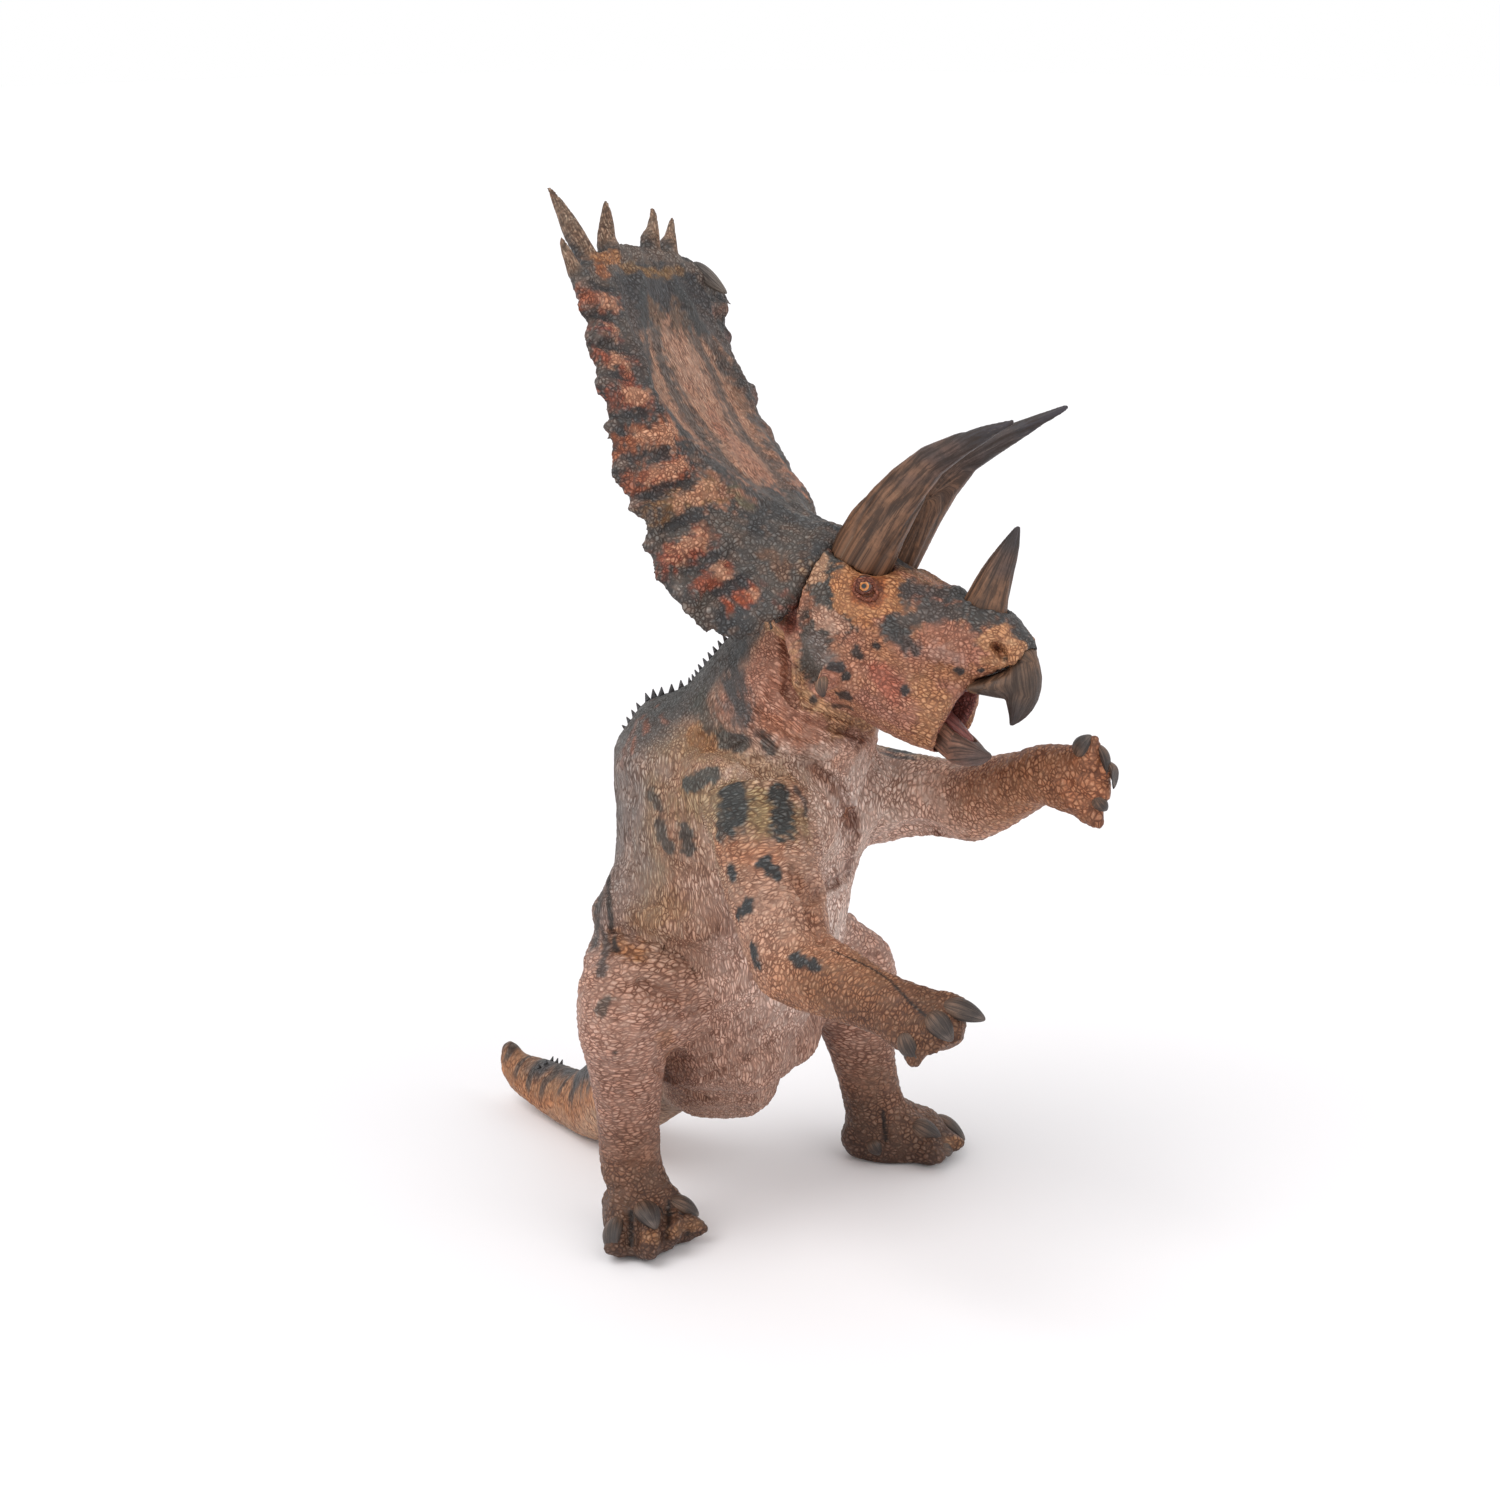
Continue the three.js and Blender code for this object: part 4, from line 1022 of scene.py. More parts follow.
store(skin, "outward", clay.normals)
store(skin, "relief", 0.15 + 0.85 * above_floor)
store(skin, "patch", np.clip(sum(in_node[node] * patch for node, patch in patches.items()), 0, 1))
print("vertices on joint lines:", len(on_joint))

# %% [markdown]
# Then each moulding is separated, its open edges are kept sharp and closed on the hidden side, and it
# is lifted by its own scales and takes the place of its CAD node.

# %% Part the skin along the joints
for node in skin_nodes:
    skin.data.materials.append(new_material(f"{node}_skin"))
skin.data.polygons.foreach_set("material_index", owner.astype(np.int32))
with editing(skin):
    bpy.ops.mesh.separate(type="MATERIAL")
skin_pieces = {}
for thing in list(bpy.context.selected_objects):
    material = thing.data.materials[thing.data.polygons[0].material_index]
    node = material.name.removesuffix("_skin")
    thing.data.materials.clear()
    thing.data.materials.append(material)
    thing.data.polygons.foreach_set("material_index", np.zeros(len(thing.data.polygons), np.int32))
    thing.name = f"{node}_hide"
    skin_pieces[node] = thing
for node, thing in skin_pieces.items():
    with editing(thing):
        bpy.ops.mesh.select_all(action="DESELECT")
        bpy.ops.mesh.select_mode(type="EDGE")
        bpy.ops.mesh.select_non_manifold()
        bpy.ops.mesh.mark_sharp()
        bpy.ops.mesh.fill_holes(sides=0)
    raise_scales(thing, grains[node], 0.16 if node == "head" else 0.2)
    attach(thing, "figure")
    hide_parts(node)
    print(node, len(thing.data.polygons), "faces")

# %% [markdown]
# The painted skin as a material. The vertex paint is mottled by noise. A brown wash lies in the creases
# of the raised scales and in those of the fine pattern, which is also a bump, and the tops of the fine
# scales catch a paler dry brush. Soft plastic under matt varnish is fairly rough.

# %% Skin material
def mixed(tree, amount, first, second, way="MIX"):
    node = wire(tree, "ShaderNodeMix", {0: amount, 6: first, 7: second}, data_type="RGBA", blend_type=way)
    return node.outputs[2]


def attribute(tree, label, output="Fac"):
    return wire(tree, "ShaderNodeAttribute", attribute_name=label).outputs[output]


def tinted(tree, colour, tint):
    return mixed(tree, 1.0, colour, (*tint, 1), "MULTIPLY")


def shaded(tree, colour, value):
    """A colour made darker or lighter by a number."""
    grey = wire(tree, "ShaderNodeCombineColor", {0: value, 1: value, 2: value}).outputs[0]
    return mixed(tree, 1.0, colour, grey, "MULTIPLY")


def varnish(tree, colour, height, strength, thickness, roughness):
    """Plugs a colour, a bump and a roughness into the shader, under a thin matt varnish."""
    inputs = {"Height": height, "Strength": strength, "Distance": thickness * mm}
    bump = wire(tree, "ShaderNodeBump", inputs).outputs[0]
    shader = tree.nodes["Principled BSDF"]
    for name, value in (("Base Color", colour), ("Normal", bump), ("Roughness", roughness)):
        tree.links.new(value, shader.inputs[name])
    shader.inputs["Specular IOR Level"].default_value = 0.4


warm_wash, dark_wash, chalk = (0.92, 0.65, 0.53), (0.26, 0.17, 0.14), (1.6, 1.54, 1.54)


def painted_finish(material, grain):
    """Vertex paint, mottling, a wash in the creases, a dry brush on the tops and a fine bump."""
    tree = material.node_tree
    place = wire(tree, "ShaderNodeTexCoord").outputs["Object"]
    coat = attribute(tree, "paint", "Color")
    fine = scale_field(tree, place, attribute(tree, "patch"), grain)
    blots = noise(tree, place, 260, 5, 0.65)
    dust = noise(tree, place, 1700, 3, 0.6)
    size, pattern, _ = grain
    inputs = {"Vector": drawn_place(tree, place, size, *pattern), "Scale": 1000 / size}
    cell_colour = wire(tree, "ShaderNodeTexVoronoi", inputs).outputs["Color"]
    cell_tone = wire(tree, "ShaderNodeSeparateColor", {0: cell_colour}).outputs[0]
    mottled = shaded(tree, coat, ranged(tree, blots, 0.3, 0.7, 0.8, 1.16))
    mottled = shaded(tree, mottled, ranged(tree, cell_tone, 0.0, 1.0, 0.84, 1.14))
    uneven = ranged(tree, blots, 0.36, 0.6, 0.45, 1.0)
    beside = calc(tree, "MULTIPLY", ranged(tree, fine, 0.25, 1.0, 1.0, 0.0), uneven)
    beside = calc(tree, "MAXIMUM", beside, ranged(tree, attribute(tree, "crease"), 0.0, 0.7, 1.0, 0.0))
    stained = mixed(tree, calc(tree, "MULTIPLY", beside, 0.54), mottled, tinted(tree, mottled, warm_wash))
    within = calc(tree, "MULTIPLY", ranged(tree, fine, 0.0, 0.55, 1.0, 0.0), uneven)
    stained = mixed(tree, calc(tree, "MULTIPLY", within, 0.9), stained, tinted(tree, mottled, dark_wash))
    top = calc(tree, "MULTIPLY", ranged(tree, fine, 0.6, 1.0), ranged(tree, dust, 0.42, 0.62, 0.1, 0.6))
    pale = mixed(tree, 0.12, tinted(tree, coat, chalk), (*tone("e2d2c8"), 1))
    height = calc(tree, "ADD", fine, calc(tree, "MULTIPLY", dust, 0.4))
    brushed = mixed(tree, top, stained, pale)
    varnish(tree, brushed, height, 0.8, 0.16, ranged(tree, blots, 0.3, 0.7, 0.48, 0.68))


for node, thing in skin_pieces.items():
    painted_finish(thing.data.materials[0], grains[node])
print("skin materials:", len(skin_pieces))

# %% [markdown]
# The frill is a thin plate, so its copy is meshed finely and kept crisp. Its margin carries ten lumps,
# rounded bars run in from them, a scaly ridge frames a sunken panel of brushed tan, and long spikes
# stand on top. Strokes on the near half are laid on the far half and through to the back as well.

# %% Mesh the frill
def moulded(node, name, voxel, smooth, body="figure"):
    """A finely meshed copy of a CAD piece, to carve and to paint."""
    thing = node_copy(node, name)
    apply_with(thing, "REMESH", mode="VOXEL", voxel_size=voxel * mm)
    apply_with(thing, "SMOOTH", factor=0.5, iterations=smooth)
    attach(thing, body)
    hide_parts(node)
    return thing


frill = moulded("frill", "frill_plate", 0.46, 3)
plate = Surface(frill)
plate_limit, far_share = 6 * mm, 0.4


def both_halves(runs):
    return [runs, plate.mirrored(runs, head_middle)]


def through(runs):
    """The same runs on the other face of the thin plate."""
    twins = []
    for run in runs:
        twin = []
        for place, normal in run:
            hit, far_normal, _, _ = plate.tree.ray_cast(place - normal * ray_lift, -normal)
            if hit is not None and (hit - place).length < plate_limit:
                twin.append((hit, far_normal))
        twins.append(twin)
    return [twin for twin in twins if twin]


def pull_both(start, end, radius):
    """Pulls the near half of the frill across the view, and the far half less, as its mirror image."""
    spot, shift = plate.dragged(start, end)
    plate.pull(spot, shift, radius)
    plate.pull(mirror_place(spot, head_middle), mirror_way(shift, head_middle) * far_share, radius)


# radius, from, to in the picture
margin_pulls = table("""
    9 601,425 611,426
    10 632,530 645,527
    8 597,385 602,385""")
for radius, (start, end) in margin_pulls:
    pull_both(start, end, radius)
far_pulls = table("""
    9 738,320 724,296
    9 745,350 734,346
    6 722,322 713,318
    9 764,440 772,440
    9 778,470 790,470
    8 796,500 811,497""")
for radius, (start, end) in far_pulls:
    plate.grab(start, end, radius)
plate.settle()
plate = Surface(frill)
print("frill:", len(plate.places), "vertices")

# %% [markdown]
# The strokes of the frill. Each bar and each lump is carved on both faces, the margin is drawn out at a
# lump and drawn in between two of them, and the ridge and the seam to the head swell a little.

# %% Carve the frill
# radius, height, colour, line in the picture from the margin inwards
frill_bars = table("""
    2.2 0.7 #a8603f 588,297 600,299 612,303
    2 0.7 #9c4f3a 598,326 606,328 614,333
    2.3 0.7 #a85a3c 602,357 612,359 622,363
    2.8 0.8 #a65a3f 610,393 625,394 640,399
    2.9 0.8 #a9653f 622,446 645,438 668,430
    3 0.8 #a8603f 636,484 655,477 678,468
    2.5 0.7 #8f6a3e 650,510 680,502 710,488
    2.7 0.7 #9c4f33 664,562 680,552 698,540
    2.3 0.7 #a0502f 702,583 722,573
    2 0.6 #b4562b 730,600 752,593""")
furrows = table("""
    586,312 602,316
    596,342 612,346
    602,376 625,376
    608,418 645,414
    622,462 665,452
    640,498 690,482
    655,532 700,515
    688,572 716,556
    718,592 742,580
    590,284 610,288""")
margin_lumps = pairs_in("584,284 588,308 597,338 602,380 609,423 622,463 636,505 650,545 678,590 708,612")
ridge_line = pairs_in("640,280 638,330 648,390 678,432 720,475 770,505 820,530")
top_line = pairs_in("618,250 650,258 690,268 712,285")
seam_line = pairs_in("836,533 818,552 803,575 793,598 778,612")
panel_lines = table("""
    665,300 690,350 712,400 745,445 785,490
    655,330 690,390 725,445 760,478
    690,330 715,370 740,420 770,470""")


def carve_halves(line, radius, height, behind=0.0):
    """A stroke on both halves of the frill, and on its back where it has a height there."""
    for runs in both_halves(plate.seen(line)):
        plate.carve(runs, radius, height)
        if behind:
            plate.carve(through(runs), radius, behind)


for radius, height, _, line in frill_bars:
    carve_halves(line, radius, height, height * 0.6)
for [line] in furrows:
    carve_halves(line, 1.5, -0.5)
for across, down in margin_lumps:
    carve_halves([(across + 7, down - 1)], 2.4, 0.9, 0.6)
    pull_both((across + 2, down), (across - 6, down + 3), 2.6)
for (across, down), (next_across, next_down) in zip(margin_lumps, margin_lumps[1:]):
    middle = ((across + next_across) / 2, (down + next_down) / 2)
    pull_both(middle, (middle[0] + 5, middle[1] - 2), 2.4)
plate.carve(plate.seen(seam_line), 5.5, 1.7)
carve_halves(ridge_line, 4, 0.9)
plate.carve(plate.seen(top_line), 3, 0.8)
plate.settle()
panel_share, panel_reach = np.zeros(len(plate.places)), 7 * mm
for [line] in panel_lines:
    for runs in both_halves(plate.seen(line)):
        near, off = plate.touch(runs, panel_reach)
        panel_share[near] = np.maximum(panel_share[near], eased((1 - off) * 1.8))
print("bars:", len(frill_bars), "lumps:", len(margin_lumps))

# %% [markdown]
# The frill's paint: slate all over, bars that fade from orange-red to tan, pale lumps, and a panel that
# is dark at the top and tan under lengthwise brush strokes below.

# %% Paint the frill
slate = mix(tone("43474a"), tone("625e59"), 0.5 + 0.5 * wobble(plate.places, 5, 31))
slate = mix(slate, tone("786a60"), 0.6 * eased(wobble(plate.places, 1.6, 33) - 0.1))
frill_paint = Paint(plate, slate)


def brush(line, radius, colour, far=1.0, behind=0.0, amount=0.9, **how):
    """A dab on the near half, and weaker ones on the far half and on the frill's back."""
    how = {"soft": 0.7, "ragged": 0.4, **how}
    near, other = both_halves(plate.seen(line, step=3))
    for runs, share in ((near, 1.0), (other, far)):
        frill_paint.dab(runs, radius, colour, amount * share, **how)
        if behind:
            frill_paint.dab(through(runs), radius, colour, amount * behind, **how)


# radius, colour, amount, line in the picture
panel_paint = table("""
    7 #44464a 0.9 650,285 690,292 705,312
    4.5 #5c5552 0.8 706,320 728,350 750,390 772,440
    4 #80664f 0.8 655,312 666,335 672,360
    6 #b38d76 0.9 680,342 694,372 712,402
    4 #c5a088 0.8 686,348 702,378
    4.4 #a8745a 0.8 692,398 708,416 724,434
    6 #c09a80 0.9 720,410 738,436 760,466
    5 #ba8a70 0.9 742,450 768,474 792,492
    5.4 #b9957e 0.9 700,352 718,385 736,418
    4 #b5896c 0.85 722,388 742,420 758,448 770,462
    3 #a07c64 0.85 710,346 730,380 746,410
    4.6 #bd987f 0.85 704,350 720,382 732,410
    4.2 #bb937a 0.85 734,412 754,446 774,476
    1.2 #6b5c54 0.6 698,340 712,372 722,398
    1.4 #5e534e 0.8 672,372 694,412 716,440
    1.2 #5a504c 0.8 735,415 752,448
    2.6 #54514e 0.85 655,335 662,368 680,404 702,436 730,468 764,498
    2.6 #4d5052 0.9 650,400 684,438 722,474 765,506 812,528
    2.6 #44484a 0.9 640,285 642,330 648,380
    2 #6f6a52 0.8 735,492 748,505
    2.6 #7d5c44 0.6 770,555 785,570
    2 #8a5a40 0.6 700,528 712,534
    2.8 #985844 0.95 782,604 790,602 798,612
    1.6 #8d6a62 0.7 788,602 796,608
    2.4 #9a7f60 0.8 806,566 814,562""")
for number, (radius, colour, amount, line) in enumerate(panel_paint):
    brush(line, radius, colour, far=0.9, amount=amount, seed=60 + number)
for number, (radius, _, colour, line) in enumerate(frill_bars):
    brush(line, radius * 1.35, colour, far=0.25, behind=0.85, amount=0.8, soft=0.9, ragged=0.5, seed=number)
    brush(line[1:], radius, "cf9f80", far=0.15, behind=0.6, amount=0.8, ragged=0.5, seed=20 + number)
for [line] in furrows:
    brush(line, 1.7, "3a3c3f", behind=0.9)
for spot in margin_lumps:
    brush([spot], 1.7, "91867e", behind=0.9, amount=0.85, soft=0.9)
# radius, colour, share on the far half, share on the back, amount, line in the picture
margin_paint = table("""
    2.2 #776e66 1 0.8 0.8 618,250 650,258 690,268 712,285
    2 #b07a48 0 0.8 0.8 594,255 618,258
    1.6 #a8683c 0 0 0.8 600,270 606,274
    1.6 #8a6c44 1 0.4 0.7 640,272 680,272
    1.6 #615955 0.8 0.7 0.8 735,345 770,410 800,470 825,510""")
for radius, colour, far, behind, amount, line in margin_paint:
    brush(line, radius, colour, far, behind, amount)
print("dabs on the panel and along the margin:", len(panel_paint), len(margin_paint))

# %% [markdown]
# The spikes on top are bone-coloured. Each vertex near one belongs to the nearest spike, with a soft
# hold that ends between neighbours. The spike is thickened a little towards its tip and leans over to
# where the figure has it.

# %% Lean and paint the spikes
# root, tip, where the tip leans to, in the picture
spikes = table("""
    600,256 549,192 557,191
    584,268 559,247 563,241
    614,246 603,202 613,202
    664,254 648,216 658,217
    684,256 664,222 674,222""")
spike_reach, spike_swell = 3.6 * mm, 0.5 * mm
shafts, nearest = [], np.full(len(plate.places), 9.0)
for [(root, tip, leaning)] in spikes:
    ends = [plate.laid(*root), plate.laid(*tip)]
    near, off = plate.touch([ends], spike_reach, facing=-2)
    nearest[near] = np.minimum(nearest[near], off)
    shafts.append((ends[0][0], *plate.dragged(tip, leaning), near, off))
horny = np.zeros(len(plate.places))
for foot, point, lean, near, off in shafts:
    axis, long = np.array((point - foot).normalized()), (point - foot).length / mm
    spoke = plate.places[near] - np.array(foot)
    along = spoke @ axis / mm
    spoke -= (spoke @ axis)[:, None] * axis
    away = spoke / (np.linalg.norm(spoke, axis=1) + spike_swell / 2)[:, None]
    hold = eased((1 - off) * 2.2) * (off <= nearest[near])
    plate.places[near] += away * (spike_swell * eased(along / 6) * hold)[:, None]
    plate.places[near] += np.array(lean) * (np.clip(along / long, 0, 1.1) * hold)[:, None]
    turned = np.sin(along * 0.5 + 9 * wobble(plate.places[near], 2.0, 35))
    coat = mix(tone("a48d78"), tone("5b4938"), 0.8 * eased(0.5 + turned))
    cover = eased(along / 2.5 + 0.2) * hold
    frill_paint.colours[near] = mix(frill_paint.colours[near], coat, cover)
    horny[near] = np.maximum(horny[near], cover)
plate.settle()
print("spikes:", len(spikes))

# %% [markdown]
# The frill's lower edge behind the cheek, up to 3 mm above its corner, is smoothed into a soft hem with
# almost no scales. Elsewhere the scales are high on the margin, and low on the panel and the spikes.

# %% Finish the frill
panel_share = np.maximum(panel_share, horny)
store_paint(frill, frill_paint.colours)
store(frill, "patch", panel_share)
store(frill, "away", np.ones(len(plate.places)))
store(frill, "outward", plate.normals)
head_up = (head_turn @ Vector((0, 0, 1))).normalized()
hem_height = 3 * mm
lower_corner, _ = plate.laid(704, 604)
hem = eased(1 - (plate.places - np.array(lower_corner)) @ np.array(head_up) / hem_height)
store(frill, "relief", (0.25 + 0.75 * (1 - panel_share) * (1 - horny)) * (1 - 0.9 * hem))
hem_group = frill.vertex_groups.new(name="hem")
for number in np.nonzero(hem > 0)[0]:
    hem_group.add([int(number)], float(hem[number]), "REPLACE")
apply_with(frill, "SMOOTH", factor=0.6, iterations=12, vertex_group="hem")
raise_scales(frill, grains["frill"], 0.2)
frill_finish = new_material("frill_skin")
frill.data.materials.append(frill_finish)
painted_finish(frill_finish, grains["frill"])
print("hem vertices:", int((hem > 0).sum()), "frill faces:", len(frill.data.polygons))

# %% [markdown]
# Horns, beak and claws are hard and grooved. A path runs through each from root to tip. Round it every
# vertex gets a grain place that follows the curve, so grooves and brushed streaks run lengthwise.

# %% Grooves along a path
def head_path(text, left=0):
    """A path beside the middle of the head, from pairs of mm ahead and mm up."""
    return [in_head(ahead, left, up) for ahead, up in pairs_in(text)]


def along_path(places, path):
    """The share along a path, and a grain place (two across, one along, in mm) for each vertex."""
    path, side = [np.array(p) for p in path], np.array(head_across)
    lengths = np.cumsum([0] + [np.linalg.norm(b - a) for a, b in zip(path, path[1:])])
    best, share, grain = np.full(len(places), 9.0), np.zeros(len(places)), np.zeros((len(places), 3))
    for number, (a, b) in enumerate(zip(path, path[1:])):
        way = b - a
        long = np.linalg.norm(way)
        t = np.clip((places - a) @ way / long**2, 0, 1)
        spoke = places - a - t[:, None] * way
        off = np.linalg.norm(spoke, axis=1)
        near = off < best
        over = np.cross(way / long, side)
        turned = np.arctan2(spoke @ over / np.linalg.norm(over), spoke @ side)
        run = lengths[number] + t * long
        laid = np.stack([3 * np.cos(turned), 3 * np.sin(turned), run / mm], 1)
        best[near], share[near], grain[near] = off[near], (run / lengths[-1])[near], laid[near]
    return share, grain


def grooves(grain, count, seed):
    """Lengthwise grooves that wander a little, nought between them and one in each."""
    random = np.random.default_rng(seed)
    turned = np.arctan2(grain[:, 1], grain[:, 0])
    drift = 0
    for k in (1, 2, 3):
        drift = drift + np.sin(turned * k + grain[:, 2] * random.uniform(0.08, 0.25) + random.uniform(0, 6))
    return np.clip(np.sin(turned * count + 1.1 * drift), 0, 1) ** 2


def hard_finish(name, shade_and_streak_tint="2e2018", rough=0.5):
    """Vertex paint with fine lengthwise streaks on the grain place, and a bump of the same streaks."""
    material = new_material(name)
    tree = material.node_tree
    grain = attribute(tree, "grain", "Vector")
    streaks = noise(tree, vector_calc(tree, "MULTIPLY", grain, (1.0, 1.0, 0.055)), 3.2, 6, 0.7)
    blots = noise(tree, grain, 0.6, 5, 0.7)
    coat = shaded(tree, attribute(tree, "paint", "Color"), ranged(tree, blots, 0.3, 0.7, 0.7, 1.2))
    coat = mixed(tree, ranged(tree, streaks, 0.56, 0.42, 0.0, 0.75), coat, (*tone(shade_and_streak_tint), 1))
    coat = mixed(tree, ranged(tree, streaks, 0.6, 0.75, 0.0, 0.35), coat, (*tone("b59c80"), 1))
    varnish(tree, coat, streaks, 0.6, 0.25, ranged(tree, blots, 0.3, 0.7, rough - 0.08, rough + 0.1))
    return material


def hard_piece(node, name, path, stops, finish, voxel=0.42, groove=(12, 0.3), body="figure"):
    """A CAD piece with grooves cut along a path, painted from root to tip."""
    thing = moulded(node, name, voxel, 4, body)
    surface = Surface(thing)
    share, grain = along_path(surface.places, path)
    count, depth = groove
    cut = grooves(grain, count, len(name))
    surface.places -= surface.normals * (cut * depth * mm * np.clip(1.3 - share, 0, 1))[:, None]
    surface.settle()
    coat = fade(share + 0.08 * wobble(surface.places, 4, 17), stops)
    store_paint(thing, mix(coat, tone("2b2522"), 0.55 * cut))
    store(thing, "grain", grain)
    thing.data.materials.append(finish)
    pick(thing)
    bpy.ops.object.shade_smooth()
    return thing


# %% [markdown]
# The brow horns curve forward and darken from brown to slate at the tip. The nose horn and both halves
# of the beak have fewer and shallower grooves. The lower jaw rides on the hinge.

# %% Horns, beak and lower jaw
horn_finish = hard_finish("horn_brown")
horn_stops = "0 7d5840, 0.3 7b5944, 0.5 654c41, 0.65 4a3e3c, 0.8 3b3638, 1 423d44"
for side, left in (("right", -2.9), ("left", 2.9)):
    path = head_path("0,15 2.8,24.3 7,32.9 14,39.9 21.6,46", left)
    hard_piece(f"brow_horn_{side}", f"brow_horn_{side}_grooved", path, horn_stops, horn_finish)
path = head_path("19,12 20.5,18 23.4,27.3")
hard_piece("nose_horn", "nose_horn_grooved", path, horn_stops, horn_finish, 0.35, (7, 0.2))
path = head_path("24,3 32,3 34.5,-2 33.7,-8.6")
stops = "0 846046, 0.35 7a5a44, 0.6 5f4a3d, 0.78 463b36, 1 3a3334"
hard_piece("upper_beak", "upper_beak_grooved", path, stops, horn_finish, 0.3, (8, 0.12))
path = head_path("10,-11 18,-16 24,-18.5 30.1,-16")
stops = "0 a5705c, 0.5 9a6a54, 0.8 835c4b, 1 66504a"
hard_piece("lower_jaw", "lower_jaw_grooved", path, stops, horn_finish, 0.35, (8, 0.12), body="jaw")

# %% [markdown]
# The inside of the mouth is maroon with a satin wet look: a tongue with a groove down the middle, and
# the palate insert behind it. The tongue is made slimmer than its solid about its own middle, so that
# it clears the cheeks when the jaw closes.

# %% Tongue and palate
wet_finish = hard_finish("mouth_maroon", shade_and_streak_tint="5c2a28", rough=0.36)
path, stops = head_path("12,-9 20,-13 26.7,-14.5"), "0 7c4038, 0.6 95514a, 1 a86a60"
tongue = hard_piece("tongue", "tongue_soft", path, stops, wet_finish, 0.3, (3, 0.08), "jaw")
pivot = Matrix.Translation(in_head(20, 0, -16)) @ head_turn.to_4x4()
tongue.data.transform(pivot @ Matrix.Diagonal((0.97, 0.86, 0.9, 1)) @ pivot.inverted())
path, stops = head_path("10,-8 20,-7 30,-5"), "0 6e332d, 0.6 8a4740, 1 9c5d54"
hard_piece("mouth_lining", "palate", path, stops, wet_finish, 0.32, (5, 0.1))
print("tongue width in mm:", round(tongue.dimensions.y / mm, 1))

# %% [markdown]
# The eyes. A glossy ball sits in each orbit, painted in rings by the distance from its gaze: pupil,
# orange iris, black rim. Two torus lids, squashed to almonds, hold it in folds of reddish skin.

# %% Eyes and lids
def placing(place, out, ahead):
    """A matrix that stands a shape on a surface: its Z goes out, its X as nearly ahead as it can."""
    z = Vector(out).normalized()
    x = (Vector(ahead) - z * z.dot(Vector(ahead))).normalized()
    return Matrix.Translation(place) @ Matrix((x, z.cross(x), z)).transposed().to_4x4()


def stood(points, stand):
    return points @ np.array(stand.to_3x3()).T + np.array(stand.translation)


def settled(thing, name, finish):
    """Names an added part, gives it its finish, shades it smooth and sets it to ride on the figure."""
    thing.name = name
    thing.data.materials.clear()
    thing.data.materials.append(finish)
    pick(thing)
    bpy.ops.object.shade_smooth()
    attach(thing, "figure")


def painted_all(thing, colour):
    """One coat all over, and the even values that the skin material reads."""
    count = len(thing.data.vertices)
    store_paint(thing, np.tile(tone(colour), (count, 1)))
    store(thing, "patch", np.zeros(count))
    store(thing, "crease", np.full(count, 0.8))


eye_finish = new_material("eye_glossy")
tree = eye_finish.node_tree
ramp = wire(tree, "ShaderNodeValToRGB", {0: calc(tree, "DIVIDE", attribute(tree, "ring"), 2.0)})
ring_stops = stops_of("0.2 0a0807, 0.25 b0601c, 0.4 dc8c2e, 0.46 7c3f16, 0.5 120c0a, 0.62 4e2a1f")
while len(ramp.color_ramp.elements) < len(ring_stops):
    ramp.color_ramp.elements.new(1.0)
for element, (at, colour) in zip(ramp.color_ramp.elements, ring_stops):
    element.position, element.color = at, (*colour, 1)
flecks = noise(tree, wire(tree, "ShaderNodeTexCoord").outputs["Object"], 2600, 3)
iris = shaded(tree, ramp.outputs[0], ranged(tree, flecks, 0.3, 0.7, 0.7, 1.2))
eye_shader = tree.nodes["Principled BSDF"]
tree.links.new(iris, eye_shader.inputs["Base Color"])
eye_shader.inputs["Roughness"].default_value = 0.12
eye_shader.inputs["Coat Weight"].default_value = 0.8
lid_finish = new_material("lid_skin")
painted_finish(lid_finish, grains["head"])

eye_radius, eye_sink = 1.9 * mm, 1.7 * mm
# For each torus: ring radius, tube radius and rise in mm, its squash to an almond, and its colour.
lid_rings = ((1.35, 0.4, 0.4, 0.92, "6e3c2a"), (2.3, 0.45, 0.1, 0.95, "8a4e36"))
face = Surface(skin_pieces["head"])
ahead = head_turn @ Vector((1, 0, 0))
near_eye = clay.seen([(864, 586)])
for side, outward, runs in (("right", -1, near_eye), ("left", 1, clay.mirrored(near_eye, head_middle))):
    spot, out = runs[0][0]
    gaze = (out + head_across * outward + ahead * 0.3).normalized()
    bpy.ops.mesh.primitive_uv_sphere_add(segments=48, ring_count=32, radius=eye_radius)
    eye = bpy.context.object
    points = places_of(eye) / mm
    store(eye, "ring", np.hypot(points[:, 0], points[:, 1]) + 9 * (points[:, 2] < 0))
    eye.data.transform(placing(spot - gaze * eye_sink, gaze, ahead))
    settled(eye, f"eye_{side}", eye_finish)
    stand = placing(spot, gaze, ahead)
    lids = []
    for major, minor, rise, squash, colour in lid_rings:
        bpy.ops.mesh.primitive_torus_add(
            major_radius=major * mm, minor_radius=minor * mm, major_segments=56, minor_segments=12,
        )
        lid = bpy.context.object
        ring = places_of(lid)
        middle_line = ring * (1, 1, 0)
        middle_line *= major * mm / np.linalg.norm(middle_line, axis=1)[:, None]
        ring, middle_line = [stood(points * (1.12, squash, 1), stand) for points in (ring, middle_line)]
        laid = np.array([face.tree.find_nearest(p)[0] for p in middle_line])
        move_to(lid, ring + laid - middle_line + np.array(gaze) * rise * mm)
        painted_all(lid, colour)
        lids.append(lid)
    settled(join(*lids), f"lids_{side}", lid_finish)
print("eyes at", [round(x / mm, 1) for x in near_eye[0][0][0]])

